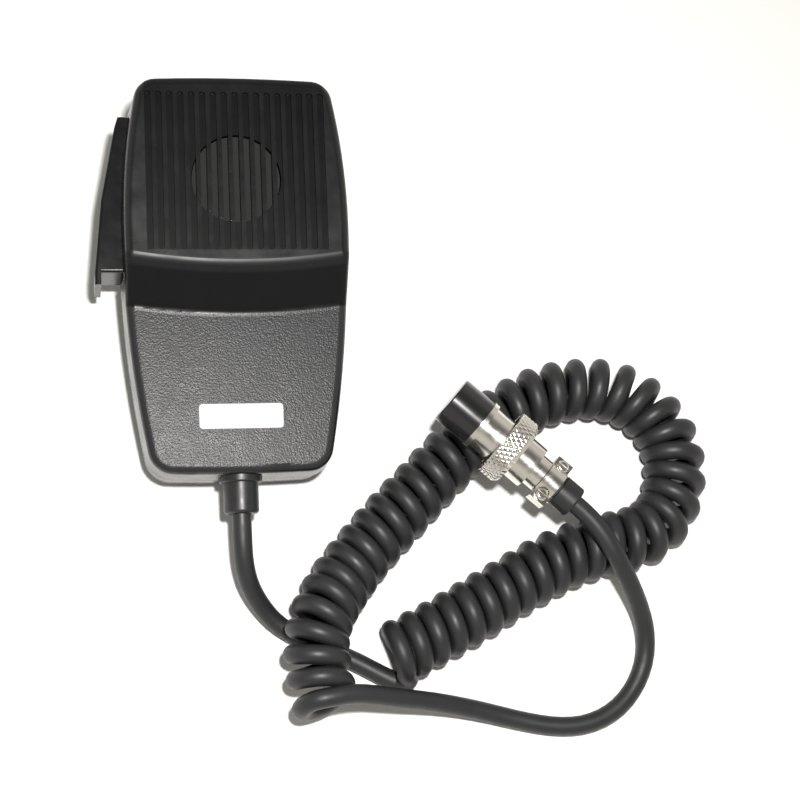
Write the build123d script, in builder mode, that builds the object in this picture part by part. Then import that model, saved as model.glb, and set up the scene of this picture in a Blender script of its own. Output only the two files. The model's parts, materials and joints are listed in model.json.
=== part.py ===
from build123d import *
import os
from math import asin, atan2, cos, degrees, hypot, pi, radians, sin, sqrt, tan

# Hand microphone of a two-way radio: a two-shell handset with a side talk bar, a curly cord
# and a locking four-pin plug.  Millimetres.
#
# The handset is drawn in its own frame: x to the right, y to the top, z out of the face, with
# z = 0 on the flat back.  It lies on the round hang-up button of its back and on its lower back
# edge, so HANDSET_PLACE turns it by a few degrees about x.  The cord and the plug are drawn
# where they lie, in the row's own frame, whose z = 0 is the table.

# ---------------------------------------------------------------- driving dimensions
# Case outline, at the seam between the shells
HALF_WIDTH = 28.8
WIDEST_Y = 17.0
UPPER_SIDE_RADIUS = 170.0
LOWER_SIDE_RADIUS = 300.0
TOP_Y = 55.1
TOP_CORNER_Y = 54.4
BOTTOM_Y = -45.6
BOTTOM_CORNER_Y = -45.0
TOP_CORNER_RADIUS = 6.5
BOTTOM_CORNER_RADIUS = 7.0
FRONT_DRAFT = 3.5
REAR_DRAFT = 2.5
WALL = 2.2

# Case heights
SEAM_Z = 15.0
SEAM_GAP = 0.4
HEAD_Z = 32.0
PANEL_Z = 25.0
FRONT_EDGE_RADIUS = 2.2
BACK_EDGE_RADIUS = 3.0

# Step between the head and the lower panel, swept about a far centre above the case
RIDGE_Y = 6.3
STEP_FOOT_Y = -4.7
STEP_CENTRE_Y = 168.0
RIDGE_RADIUS = 3.0
FOOT_RADIUS = 4.0

# Grille
RIB_PITCH = 2.7
CHANNEL_WIDTH = 1.6
CHANNEL_DEPTH = 1.1
CHANNEL_COUNT = 17
GRILLE_TOP_Y = 50.0
GRILLE_FOOT_Y = 9.6
SPEAK_Y = 28.0
SPEAK_RADIUS = 11.2
RAISED_RIBS = 0.5

# Talk bar on the left side
PIVOT = (-22.5, 43.0)
PIVOT_RADIUS = 1.25
BAR_TOP = (-28.7, 45.8)
BAR_SHOULDER = (-29.6, 43.0)
BAR_WAIST = (-33.2, 24.3)
BAR_KNEE = (-35.0, 5.9)
BAR_TIP = (-35.0, 2.8)
BAR_THICK = 1.6
BAR_LOW_Z = 8.5
BAR_HIGH_Z = 23.5
BAR_MID_Z = (BAR_LOW_Z + BAR_HIGH_Z) / 2
WINDOW_GAP = 0.5
WINDOW_FOOT_GAP = 1.6
WINDOW_TOP_GAP = 0.9
BAR_CHEEK_X = -26.6
PAD_X = -25.2
PIN_FOOT_Z = 4.2
PIN_TOP_Z = 26.2
PLUNGER_Y = 24.0
PLUNGER_Z = 13.2
PLUNGER_RADIUS = 1.3
PLUNGER_TIP_X = -24.95
PLUNGER_INNER_X = -12.5
SWITCH_X = (-15.5, -5.5)
SPRING_Y = 12.0
SPRING_SEAT_X = -21.3
SPRING_OUTER_X = -32.1
SPRING_RADIUS = 2.2
SPRING_PITCH = 1.7
SPRING_WIRE = 0.7

# Hang-up button of the back
BUTTON_Y = 22.0
BUTTON_HEAD_RADIUS = 6.35
BUTTON_NECK_RADIUS = 3.5
BUTTON_HEIGHT = 6.5
BUTTON_NECK_HEIGHT = 3.9
BUTTON_EDGE_RADIUS = 0.8
BUTTON_SPIGOT_RADIUS = 2.4

# Case screws
CASE_SCREW_PLACES = ((-15.0, 47.0), (15.0, 47.0), (-17.0, -35.5), (17.0, -35.5))
CASE_SCREW_RADIUS = 1.45
CASE_SCREW_HEAD_RADIUS = 2.75
CASE_SCREW_SEAT_Z = 4.0

# Cord and its relief
CORD_DIAMETER = 4.9
COIL_DIAMETER = 16.8
CORD_Z = 18.0
RELIEF_COLLAR_RADIUS = 5.4
RELIEF_COLLAR_Y = -46.8
RELIEF_RADIUS = 4.4
RELIEF_END_Y = -54.5
RELIEF_INNER_Y = -38.0
RELIEF_COLLAR_TOP_Y = -42.6
CORD_INNER_Y = -27.5
CLAMP_Y = -33.0
CLAMP_FOOT_Z = 15.4
CLAMP_TOP_Z = 21.2
CLAMP_SCREW_PLACES = ((-5.6, CLAMP_Y), (5.6, CLAMP_Y))
WIRE_DIAMETER = 1.2
WIRE_COLOURS = ("red", "white", "yellow", "black")

# Circuit board
BOARD_Z = 7.0
BOARD_THICK = 1.6
BOARD_WIDTH = 36.0
BOARD_FOOT_Y = -14.0
BOARD_TOP_Y = 34.0
BOARD_TOP_Z = BOARD_Z + BOARD_THICK
BOARD_SCREW_PLACES = ((-13.0, -9.0), (13.0, -9.0), (13.0, 29.0))

# Voice capsule
CAPSULE_RADIUS = 11.0
CAPSULE_FACE_Z = 28.6
CAPSULE_BACK_Z = 20.6
CAPSULE_WALL = 0.6
CAPSULE_SEAT_FOOT_Z = 22.6
BRACKET_SCREW_PLACES = ((-16.5, SPEAK_Y), (16.5, SPEAK_Y))

# Nameplate
PLATE_Y = -30.9
PLATE_WIDTH = 21.0
PLATE_HEIGHT = 6.4
PLATE_CORNER = 1.0
PLATE_SEAT = 0.3
PLATE_PROUD = 0.5

# Plug, as distances along its axis from its front end
PLUG_FRONT = Vector(56.71, -27.7, 24.6)
PLUG_REAR = Vector(87.37, -55.14, 22.24)
CAP_END = 9.5
CAP_RADIUS = 6.4
CAP_BORE = 5.5
LIP_END = 10.8
LIP_RADIUS = 6.8
SHELL_END = 16.4
SHELL_RADIUS = 6.0
BARREL_BORE = 4.2
RING_END = 22.4
RING_RADIUS = 9.25
RING_THREAD_RADIUS = 7.6
RING_RECESS = 3.8
BACKSHELL_END = 27.15
BACKSHELL_RADIUS = 6.0
TAIL_END = 35.9
TAIL_RADIUS = 4.45
TAIL_BORE = 2.55
SLEEVE_RADIUS = 4.25
CORE_START = 24.0
CONTACT_CIRCLE = 1.9
CONTACT_RADIUS = 0.8
SADDLE_START = 30.6
SADDLE_LENGTH = 4.6
SADDLE_SPLIT = 0.1
SADDLE_EAR_X = 4.65
SADDLE_EAR_WIDTH = 3.8
SADDLE_EAR_HEIGHT = 1.7
SADDLE_HEAD_SEAT = 1.82
SADDLE_SCREW_RADIUS = 0.9
SADDLE_SCREW_HEAD_RADIUS = 1.75
SADDLE_SCREW_HEAD = 1.3
SADDLE_SCREW_LENGTH = 4.4
RUNNING_GAP = 0.15

# Routes of the free cord: the lead from the handset, the curly length and the lead to the plug.
# The first lead starts at the strain relief and the last one ends at the plug's sleeve.
LEAD_MIC_ROUTE = [
    (3.1, -60.1, 15.81),
    (3.4, -65.8, 13.6),
    (4.8, -71.0, 10.0),
    (7.8, -75.7, 6.2),
    (12.0, -80.3, 3.4),
    (17.6, -84.5, 2.5),
    (24.0, -88.2, 2.5),
    (30.4, -91.6, 2.5),
    (36.2, -93.4, 2.7),
    (41.5, -92.3, 4.4),
]
COIL_ROUTE = [
    (39.8, -91.2, 8.5),
    (57.4, -82.2, 8.5),
    (71.4, -74.4, 8.5),
    (85.4, -67.2, 8.5),
    (97.4, -63.8, 8.5),
    (107.4, -62.3, 8.5),
    (114.4, -58.5, 8.5),
    (118.5, -52.4, 8.5),
    (120.5, -44.8, 8.5),
    (120.1, -36.9, 8.5),
    (116.8, -30.2, 8.5),
    (111.7, -25.1, 8.5),
    (105.5, -22.0, 8.5),
    (98.3, -21.0, 8.5),
    (89.4, -21.8, 8.5),
    (80.6, -24.6, 8.5),
    (70.2, -30.3, 8.5),
    (59.8, -38.5, 8.5),
    (47.8, -50.2, 8.5),
    (36.9, -60.8, 8.6),
    (27.8, -71.3, 9.8),
    (21.7, -80.6, 13.2),
    (19.6, -89.5, 14.0),
    (19.9, -99.3, 14.1),
]
LEAD_PLUG_ROUTE = [
    (19.6, -96.5, 19.8),
    (29.3, -99.4, 18.5),
    (40.1, -100.8, 13.6),
    (51.7, -102.3, 7.8),
    (62.9, -104.5, 3.9),
    (73.5, -107.5, 2.5),
    (83.0, -109.6, 2.5),
    (91.5, -109.5, 2.5),
    (99.3, -106.4, 2.5),
    (105.2, -100.7, 2.5),
    (108.7, -93.4, 3.2),
    (108.6, -85.9, 6.0),
    (105.8, -79.8, 10.6),
    (102.0, -74.3, 15.8),
    (97.9, -68.4, 20.0),
    (94.6, -63.1, 21.6),
    (90.94, -58.34, 21.96),
]

# ---------------------------------------------------------------- values worked out
FRONT_SEAM_Z = SEAM_Z + SEAM_GAP / 2
REAR_SEAM_Z = SEAM_Z - SEAM_GAP / 2
PANEL_INSIDE_Z = PANEL_Z - WALL
HEAD_INSIDE_Z = HEAD_Z - WALL
CAPSULE_SEAT_RADIUS = CAPSULE_RADIUS + 0.2

# The handset rests on the button's head and on its rounded lower back edge, which gives its tilt.
back_edge_y = BOTTOM_Y + REAR_SEAM_Z * tan(radians(REAR_DRAFT)) + BACK_EDGE_RADIUS
button_edge_y = BUTTON_Y - BUTTON_HEAD_RADIUS + BUTTON_EDGE_RADIUS
span = button_edge_y - back_edge_y
rise = BUTTON_HEIGHT + BACK_EDGE_RADIUS - BUTTON_EDGE_RADIUS
tilt = atan2(rise, span) + asin((BUTTON_EDGE_RADIUS - BACK_EDGE_RADIUS) / hypot(span, rise))
lift = BACK_EDGE_RADIUS * (1 - cos(tilt)) - back_edge_y * sin(tilt)
HANDSET_SHIFT = (3.1, 1.8)
HANDSET_PLACE = Location((*HANDSET_SHIFT, lift), (degrees(tilt), 0, 0))


# ---------------------------------------------------------------- shared shapes
def side_point(side, y):
    """The point of the case's right (1) or left (-1) side at a height y of the outline."""
    radius = UPPER_SIDE_RADIUS if y > WIDEST_Y else LOWER_SIDE_RADIUS
    return (side * (HALF_WIDTH - radius + sqrt(radius**2 - (y - WIDEST_Y) ** 2)), y)


def side_arc(side, from_y, to_y):
    """Three points of the arc that the case's side follows between two heights of the outline."""
    return [side_point(side, y) for y in (from_y, (from_y + to_y) / 2, to_y)]


def case_outline(height, inset=0.0):
    """The case's outline, as a sketch on the plane at a height, drawn in by an inset."""
    with BuildSketch(Plane.XY.offset(height)) as outline:
        with BuildLine():
            ThreePointArc(side_point(-1, BOTTOM_CORNER_Y), (0, BOTTOM_Y), side_point(1, BOTTOM_CORNER_Y))
            ThreePointArc(*side_arc(1, BOTTOM_CORNER_Y, WIDEST_Y))
            ThreePointArc(*side_arc(1, WIDEST_Y, TOP_CORNER_Y))
            ThreePointArc(side_point(1, TOP_CORNER_Y), (0, TOP_Y), side_point(-1, TOP_CORNER_Y))
            ThreePointArc(*side_arc(-1, TOP_CORNER_Y, WIDEST_Y))
            ThreePointArc(*side_arc(-1, WIDEST_Y, BOTTOM_CORNER_Y))
        make_face()
        fillet(outline.vertices().sort_by(Axis.Y)[:2], BOTTOM_CORNER_RADIUS)
        fillet(outline.vertices().sort_by(Axis.Y)[-2:], TOP_CORNER_RADIUS)
        if inset:
            offset(amount=-inset, mode=Mode.REPLACE)
    return outline.sketch


def step_tool(drop):
    """What is cut away above the step and the lower panel, lowered by a drop."""
    shift = drop * 0.55
    with BuildPart() as tool:
        with BuildSketch(Plane.YZ):
            with BuildLine():
                Polyline(
                    (RIDGE_Y - shift, HEAD_Z - drop),
                    (STEP_FOOT_Y - shift, PANEL_Z - drop),
                    (BOTTOM_Y - 20, PANEL_Z - drop),
                    (BOTTOM_Y - 20, HEAD_Z + 10),
                    (RIDGE_Y - shift, HEAD_Z + 10),
                    close=True,
                )
            make_face()
        revolve(axis=Axis((0, STEP_CENTRE_Y, 0), (0, 0, 1)))
    return tool.part


def bar_window():
    """The opening in the left walls that the talk bar moves in."""
    with BuildPart() as window:
        with BuildSketch(Plane.XY.offset(BAR_LOW_Z - WINDOW_GAP)):
            with BuildLine():
                Polyline(
                    (-45, BAR_KNEE[1] - WINDOW_FOOT_GAP),
                    (-20, BAR_KNEE[1] - WINDOW_FOOT_GAP),
                    (-20, BAR_TOP[1] + WINDOW_TOP_GAP),
                    (-45, BAR_TOP[1] + WINDOW_TOP_GAP),
                    close=True,
                )
            make_face()
        extrude(amount=BAR_HIGH_Z - BAR_LOW_Z + 2 * WINDOW_GAP)
    return window.part


def posts(places, radius, foot, top):
    """Round posts at places in plan, between two heights."""
    with BuildPart() as group:
        with BuildSketch(Plane.XY.offset(foot)):
            with Locations(*places):
                Circle(radius)
        extrude(amount=top - foot)
    return group.part


def screws(places, seat, shank_radius, head_radius, head, length, direction):
    """Pan head screws at places in plan; direction is the way that the shanks point along z."""
    with BuildPart() as group:
        for x, y in places:
            with BuildSketch(Plane((x, y, seat), x_dir=(1, 0, 0), z_dir=(0, 0, -direction))):
                Circle(head_radius)
            extrude(amount=head)
            crown = group.faces().filter_by(lambda f: abs(f.center().Z - seat + direction * head) < 0.01)
            fillet(crown.sort_by_distance((x, y, seat))[0].edges(), head * 0.35)
            with BuildSketch(Plane((x, y, seat), x_dir=(1, 0, 0), z_dir=(0, 0, direction))):
                Circle(shank_radius)
            extrude(amount=length)
            with BuildSketch(
                Plane((x, y, seat - direction * head), x_dir=(1, 0, 0), z_dir=(0, 0, direction))
            ):
                Rectangle(head_radius, head_radius * 0.26)
                Rectangle(head_radius * 0.26, head_radius)
            extrude(amount=head * 0.5, mode=Mode.SUBTRACT)
    return group.part


def block(x, y, z):
    """A plain block between two corners, given as a pair for each direction."""
    with BuildPart() as solid:
        with BuildSketch(Plane.XY.offset(z[0])):
            with Locations(((x[0] + x[1]) / 2, (y[0] + y[1]) / 2)):
                Rectangle(x[1] - x[0], y[1] - y[0])
        extrude(amount=z[1] - z[0])
    return solid.part


def rod(start, end, radius, bore=0.0):
    """A round bar or tube from one point to another."""
    way = Vector(*end) - Vector(*start)
    with BuildPart() as bar:
        with BuildSketch(Plane(Vector(*start), z_dir=way)):
            Circle(radius)
            if bore:
                Circle(bore, mode=Mode.SUBTRACT)
        extrude(amount=way.length)
    return bar.part


def cord_tube(route, diameter, label):
    """A round tube along straight runs joined by the largest tangent arcs that they allow."""
    points = [Vector(*p) for p in route]
    runs = [b - a for a, b in zip(points, points[1:])]
    radii = []
    for before, after in zip(runs, runs[1:]):
        turn = radians(before.get_angle(after))
        radii.append(0.45 * min(before.length, after.length) / tan(turn / 2))
    with BuildPart() as tube:
        with BuildLine() as path:
            FilletPolyline(*points, radius=radii)
        with BuildSketch(Plane(path.line @ 0, z_dir=path.line % 0)):
            Circle(diameter / 2)
        sweep()
    length = sum(edge.length for edge in path.edges())
    expected = pi * diameter**2 / 4 * length
    print(label, "radii", [round(r, 1) for r in radii])
    print(label, "length", round(length, 1), "volume ratio", round(tube.part.volume / expected, 4))
    return tube.part


def keep(piece, label, place=None):
    """Label a finished piece, put it in its place and write its file."""
    placed = place * piece if place else piece
    placed.label = label
    export_step(placed, f"parts/{label}.step")


os.makedirs("parts", exist_ok=True)

# ---------------------------------------------------------------- front shell
with BuildPart() as front_cavity:
    cavity_height = HEAD_INSIDE_Z - FRONT_SEAM_Z + 1
    extrude(case_outline(FRONT_SEAM_Z - 1, WALL), amount=cavity_height, taper=FRONT_DRAFT)
    add(step_tool(WALL), mode=Mode.SUBTRACT)

grille_middle_y = (GRILLE_TOP_Y + GRILLE_FOOT_Y) / 2
channel_offsets = [i - (CHANNEL_COUNT - 1) / 2 for i in range(CHANNEL_COUNT)]
channel_places = [(offset * RIB_PITCH, grille_middle_y) for offset in channel_offsets]

with BuildPart() as front_shell:
    extrude(case_outline(FRONT_SEAM_Z), amount=HEAD_Z - FRONT_SEAM_Z, taper=FRONT_DRAFT)
    add(step_tool(0), mode=Mode.SUBTRACT)
    # the ridge and the foot of the step, then the rim all round the face
    across = front_shell.edges().filter_by(lambda e: abs(e.center().X) < 1 and e.length > 40)
    fillet(across.filter_by(lambda e: abs(e.center().Y - RIDGE_Y) < 3), RIDGE_RADIUS)
    across = front_shell.edges().filter_by(lambda e: abs(e.center().X) < 1 and e.length > 40)
    fillet(across.filter_by(lambda e: abs(e.center().Y - STEP_FOOT_Y) < 0.1), FOOT_RADIUS)
    upper = front_shell.edges().filter_by(lambda e: e.center().Z > PANEL_Z - 0.05)
    rim = upper.filter_by(lambda e: abs(e.center().X) > 1 or abs(e.center().Y) > 20)
    fillet(rim, FRONT_EDGE_RADIUS)
    # grille: channels, then the speaking circle's raised ribs with slots between them
    with BuildSketch(Plane.XY.offset(HEAD_Z)):
        with Locations(*channel_places):
            SlotOverall(GRILLE_TOP_Y - GRILLE_FOOT_Y, CHANNEL_WIDTH, rotation=90)
    extrude(amount=-CHANNEL_DEPTH, mode=Mode.SUBTRACT)
    with BuildSketch(Plane.XY.offset(HEAD_Z - CHANNEL_DEPTH)):
        with Locations((0, SPEAK_Y)):
            Circle(SPEAK_RADIUS)
    extrude(amount=CHANNEL_DEPTH + RAISED_RIBS)
    with BuildSketch(Plane.XY.offset(HEAD_Z + RAISED_RIBS)):
        with Locations(*channel_places):
            Rectangle(CHANNEL_WIDTH, GRILLE_TOP_Y - GRILLE_FOOT_Y)
        with Locations((0, SPEAK_Y)):
            Circle(SPEAK_RADIUS, mode=Mode.INTERSECT)
    extrude(amount=-WALL - RAISED_RIBS, mode=Mode.SUBTRACT)
    # hollow, then the pieces that stand in it
    add(front_cavity.part, mode=Mode.SUBTRACT)
    add(posts([(0, SPEAK_Y)], CAPSULE_SEAT_RADIUS + 1.6, CAPSULE_SEAT_FOOT_Z, HEAD_INSIDE_Z))
    add(posts([(0, SPEAK_Y)], CAPSULE_SEAT_RADIUS, CAPSULE_SEAT_FOOT_Z, HEAD_INSIDE_Z), mode=Mode.SUBTRACT)
    add(posts(BRACKET_SCREW_PLACES, 2.5, CAPSULE_BACK_Z, HEAD_INSIDE_Z))
    add(posts(BRACKET_SCREW_PLACES, 1.05, CAPSULE_BACK_Z, CAPSULE_BACK_Z + 6), mode=Mode.SUBTRACT)
    add(posts(CASE_SCREW_PLACES[:2], 3.0, FRONT_SEAM_Z, HEAD_INSIDE_Z + 0.5))
    add(posts(CASE_SCREW_PLACES[2:], 3.0, FRONT_SEAM_Z, PANEL_INSIDE_Z + 0.5))
    add(posts(CASE_SCREW_PLACES, CASE_SCREW_RADIUS + 0.05, FRONT_SEAM_Z, 21.8), mode=Mode.SUBTRACT)
    add(posts([PIVOT], 2.5, BAR_HIGH_Z + 0.4, HEAD_INSIDE_Z + 0.5))
    add(bar_window(), mode=Mode.SUBTRACT)
    add(posts([PIVOT], PIVOT_RADIUS + 0.05, BAR_HIGH_Z, PIN_TOP_Z + 0.1), mode=Mode.SUBTRACT)
    add(rod((0, -40.5, CORD_Z), (0, -50, CORD_Z), RELIEF_COLLAR_RADIUS + 0.1), mode=Mode.SUBTRACT)
    # shallow seat of the nameplate
    with BuildSketch(Plane.XY.offset(PANEL_Z)):
        with Locations((0, PLATE_Y)):
            RectangleRounded(PLATE_WIDTH + 0.2, PLATE_HEIGHT + 0.2, PLATE_CORNER)
    extrude(amount=-PLATE_SEAT, mode=Mode.SUBTRACT)
keep(front_shell.part, "front_shell", HANDSET_PLACE)

# ---------------------------------------------------------------- rear shell
with BuildPart() as rear_shell:
    extrude(case_outline(REAR_SEAM_Z), amount=REAR_SEAM_Z, dir=(0, 0, -1), taper=REAR_DRAFT)
    fillet(rear_shell.faces().sort_by(Axis.Z)[0].edges(), BACK_EDGE_RADIUS)
    extrude(
        case_outline(REAR_SEAM_Z, WALL),
        amount=REAR_SEAM_Z - WALL,
        dir=(0, 0, -1),
        taper=REAR_DRAFT,
        mode=Mode.SUBTRACT,
    )
    add(posts(CASE_SCREW_PLACES, 4.0, 1.0, FRONT_SEAM_Z - 0.05))
    add(posts(BOARD_SCREW_PLACES, 2.5, 1.0, BOARD_Z))
    add(posts(CLAMP_SCREW_PLACES, 2.5, 1.0, CLAMP_FOOT_Z))
    add(block((-2.4, 2.4), (CLAMP_Y - 2, CLAMP_Y + 2), (1.0, CORD_Z - CORD_DIAMETER / 2 - 0.1)))
    add(block((SPRING_SEAT_X, SPRING_SEAT_X + 2), (SPRING_Y - 4, SPRING_Y + 4), (1.0, BAR_MID_Z + 4)))
    add(posts([PIVOT], 2.5, 1.0, BAR_LOW_Z - 0.4))
    add(posts(CASE_SCREW_PLACES, CASE_SCREW_HEAD_RADIUS + 0.25, -1, CASE_SCREW_SEAT_Z), mode=Mode.SUBTRACT)
    add(posts(CASE_SCREW_PLACES, CASE_SCREW_RADIUS + 0.15, 0, FRONT_SEAM_Z), mode=Mode.SUBTRACT)
    add(posts(BOARD_SCREW_PLACES, 1.15, BOARD_Z - 4.2, BOARD_Z), mode=Mode.SUBTRACT)
    add(posts(CLAMP_SCREW_PLACES, 0.95, CLAMP_FOOT_Z - 7, CLAMP_FOOT_Z), mode=Mode.SUBTRACT)
    add(bar_window(), mode=Mode.SUBTRACT)
    add(posts([PIVOT], PIVOT_RADIUS + 0.05, PIN_FOOT_Z - 0.1, BAR_LOW_Z), mode=Mode.SUBTRACT)
    add(rod((0, -40.5, CORD_Z), (0, -50, CORD_Z), RELIEF_COLLAR_RADIUS + 0.1), mode=Mode.SUBTRACT)
    add(posts([(0, BUTTON_Y)], BUTTON_SPIGOT_RADIUS + 0.1, -1, WALL + 1), mode=Mode.SUBTRACT)
keep(rear_shell.part, "rear_shell", HANDSET_PLACE)

keep(
    screws(CASE_SCREW_PLACES, CASE_SCREW_SEAT_Z, CASE_SCREW_RADIUS, CASE_SCREW_HEAD_RADIUS, 2.0, 17.0, 1),
    "case_screws",
    HANDSET_PLACE,
)

# ---------------------------------------------------------------- hang-up button
with BuildPart() as hang_up_button:
    with BuildSketch(Plane.XY):
        with Locations((0, BUTTON_Y)):
            Circle(BUTTON_NECK_RADIUS)
    extrude(amount=-BUTTON_NECK_HEIGHT)
    with BuildSketch(Plane.XY.offset(-BUTTON_NECK_HEIGHT)):
        with Locations((0, BUTTON_Y)):
            Circle(BUTTON_HEAD_RADIUS)
    extrude(amount=BUTTON_NECK_HEIGHT - BUTTON_HEIGHT)
    head_faces = hang_up_button.faces().filter_by(Axis.Z).sort_by(Axis.Z)
    fillet(head_faces[0].edges(), BUTTON_EDGE_RADIUS)
    head_rims = hang_up_button.edges().filter_by(GeomType.CIRCLE)
    head_rims = head_rims.filter_by(lambda e: abs(e.radius - BUTTON_HEAD_RADIUS) < 0.01)
    fillet(head_rims.sort_by(Axis.Z)[-1], 0.4)
    add(posts([(0, BUTTON_Y)], BUTTON_SPIGOT_RADIUS, -0.5, WALL))
    add(posts([(0, BUTTON_Y)], 1.5, -4.8, WALL), mode=Mode.SUBTRACT)
keep(hang_up_button.part, "hang_up_button", HANDSET_PLACE)

with BuildPart() as button_washer:
    with BuildSketch(Plane.XY.offset(WALL + 0.02)):
        with Locations((0, BUTTON_Y)):
            Circle(4.5)
            Circle(1.6, mode=Mode.SUBTRACT)
    extrude(amount=0.7)
keep(button_washer.part, "button_washer", HANDSET_PLACE)
keep(screws([(0, BUTTON_Y)], WALL + 0.75, 1.45, 2.75, 1.8, 7.0, -1), "button_screw", HANDSET_PLACE)

# ---------------------------------------------------------------- nameplate
with BuildPart() as nameplate:
    with BuildSketch(Plane.XY.offset(PANEL_Z - PLATE_SEAT)):
        with Locations((0, PLATE_Y)):
            RectangleRounded(PLATE_WIDTH, PLATE_HEIGHT, PLATE_CORNER)
    extrude(amount=PLATE_SEAT + PLATE_PROUD)
    fillet(nameplate.faces().sort_by(Axis.Z)[-1].edges(), 0.25)
keep(nameplate.part, "nameplate", HANDSET_PLACE)

# ---------------------------------------------------------------- voice capsule
with BuildPart() as grille_cloth:
    with BuildSketch(Plane.XY.offset(HEAD_INSIDE_Z - 0.32)):
        with Locations((0, SPEAK_Y)):
            Circle(CAPSULE_RADIUS)
    extrude(amount=0.3)
keep(grille_cloth.part, "grille_cloth", HANDSET_PLACE)

gasket_foot = CAPSULE_FACE_Z + 0.02
gasket_top = HEAD_INSIDE_Z - 0.34
keep(
    rod((0, SPEAK_Y, gasket_foot), (0, SPEAK_Y, gasket_top), CAPSULE_RADIUS, CAPSULE_RADIUS - 2),
    "capsule_gasket",
    HANDSET_PLACE,
)

with BuildPart() as capsule_housing:
    add(posts([(0, SPEAK_Y)], CAPSULE_RADIUS, CAPSULE_BACK_Z, CAPSULE_FACE_Z))
    back_corner = capsule_housing.faces().sort_by(Axis.Z)[0].edges()
    fillet(back_corner, 0.8)
    add(
        posts([(0, SPEAK_Y)], CAPSULE_RADIUS - CAPSULE_WALL, CAPSULE_BACK_Z + CAPSULE_WALL, CAPSULE_FACE_Z),
        mode=Mode.SUBTRACT,
    )
keep(capsule_housing.part, "capsule_housing", HANDSET_PLACE)

magnet_foot = CAPSULE_BACK_Z + CAPSULE_WALL
keep(posts([(0, SPEAK_Y)], 7.0, magnet_foot, magnet_foot + 4), "capsule_magnet", HANDSET_PLACE)

with BuildPart() as capsule_diaphragm:
    add(posts([(0, SPEAK_Y)], CAPSULE_RADIUS - CAPSULE_WALL - 0.1, 27.2, 27.5))
    add(posts([(0, SPEAK_Y)], 4.5, 27.0, 27.2))
    add(rod((0, SPEAK_Y, 25.4), (0, SPEAK_Y, 27.0), 4.5, 4.1))
keep(capsule_diaphragm.part, "capsule_diaphragm", HANDSET_PLACE)

with BuildPart() as capsule_bracket:
    add(block((-19, 19), (SPEAK_Y - 3, SPEAK_Y + 3), (CAPSULE_BACK_Z - 1.25, CAPSULE_BACK_Z - 0.05)))
    fillet(capsule_bracket.edges().filter_by(Axis.Z), 2.5)
    add(posts(BRACKET_SCREW_PLACES, 1.15, CAPSULE_BACK_Z - 2, CAPSULE_BACK_Z), mode=Mode.SUBTRACT)
keep(capsule_bracket.part, "capsule_bracket", HANDSET_PLACE)
keep(
    screws(BRACKET_SCREW_PLACES, CAPSULE_BACK_Z - 1.3, 1.0, 2.0, 1.4, 6.5, 1),
    "bracket_screws",
    HANDSET_PLACE,
)

# ---------------------------------------------------------------- talk bar
bar_outside = [BAR_TOP, BAR_SHOULDER, BAR_WAIST, BAR_KNEE, BAR_TIP]
bar_inside = [(x + BAR_THICK, y) for x, y in reversed(bar_outside)]
cheek_inside = [(BAR_CHEEK_X, BAR_KNEE[1]), (-25.6, 24.0), (-24.8, 36.0), (-20.2, 40.5), (-20.2, 45.5)]

with BuildPart() as talk_bar:
    with BuildSketch(Plane.XY.offset(BAR_LOW_Z)):
        with BuildLine():
            Polyline(*bar_outside, *bar_inside, close=True)
        make_face()
    extrude(amount=BAR_HIGH_Z - BAR_LOW_Z)
    for foot_z in (BAR_LOW_Z, BAR_HIGH_Z - BAR_THICK):
        with BuildSketch(Plane.XY.offset(foot_z)):
            with BuildLine():
                Polyline(*bar_outside[:-1], *cheek_inside, close=True)
            make_face()
        extrude(amount=BAR_THICK)
    step_x = (BAR_KNEE[0] + 1, BAR_CHEEK_X)
    step_y = (BAR_KNEE[1], BAR_KNEE[1] + BAR_THICK)
    add(block(step_x, step_y, (BAR_LOW_Z, BAR_HIGH_Z)))
    add(block((-32.4, PAD_X), (PLUNGER_Y - 2, PLUNGER_Y + 2), (BAR_LOW_Z, PLUNGER_Z + 2)))
    add(posts([PIVOT], 2.5, BAR_LOW_Z, BAR_HIGH_Z))
    add(posts([PIVOT], PIVOT_RADIUS + 0.1, BAR_LOW_Z, BAR_HIGH_Z), mode=Mode.SUBTRACT)
    long_edges = talk_bar.edges().filter_by(lambda e: e.center().X < -29.2 and e.length > 5)
    fillet(long_edges.filter_by(lambda e: abs(e.center().Z - BAR_MID_Z) > 7.4), 0.7)
keep(talk_bar.part, "talk_bar", HANDSET_PLACE)

keep(posts([PIVOT], PIVOT_RADIUS, PIN_FOOT_Z, PIN_TOP_Z), "pivot_pin", HANDSET_PLACE)

with BuildPart() as return_spring:
    with BuildLine() as spring_path:
        Helix(
            SPRING_PITCH,
            SPRING_SEAT_X - SPRING_OUTER_X - SPRING_WIRE,
            SPRING_RADIUS,
            center=(SPRING_OUTER_X, SPRING_Y, BAR_MID_Z),
            direction=(1, 0, 0),
        )
    with BuildSketch(Plane(spring_path.line @ 0, z_dir=spring_path.line % 0)):
        Circle(SPRING_WIRE / 2)
    sweep()
keep(return_spring.part, "return_spring", HANDSET_PLACE)

# ---------------------------------------------------------------- switch and board
with BuildPart() as switch_body:
    add(block(SWITCH_X, (PLUNGER_Y - 8, PLUNGER_Y + 8), (BOARD_TOP_Z, PLUNGER_Z + 3.6)))
    fillet(switch_body.edges().filter_by(Axis.Z), 0.8)
    bore_end = (PLUNGER_INNER_X + 3, PLUNGER_Y, PLUNGER_Z)
    add(rod((SWITCH_X[0], PLUNGER_Y, PLUNGER_Z), bore_end, PLUNGER_RADIUS + 0.15), mode=Mode.SUBTRACT)
keep(switch_body.part, "switch_body", HANDSET_PLACE)

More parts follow.
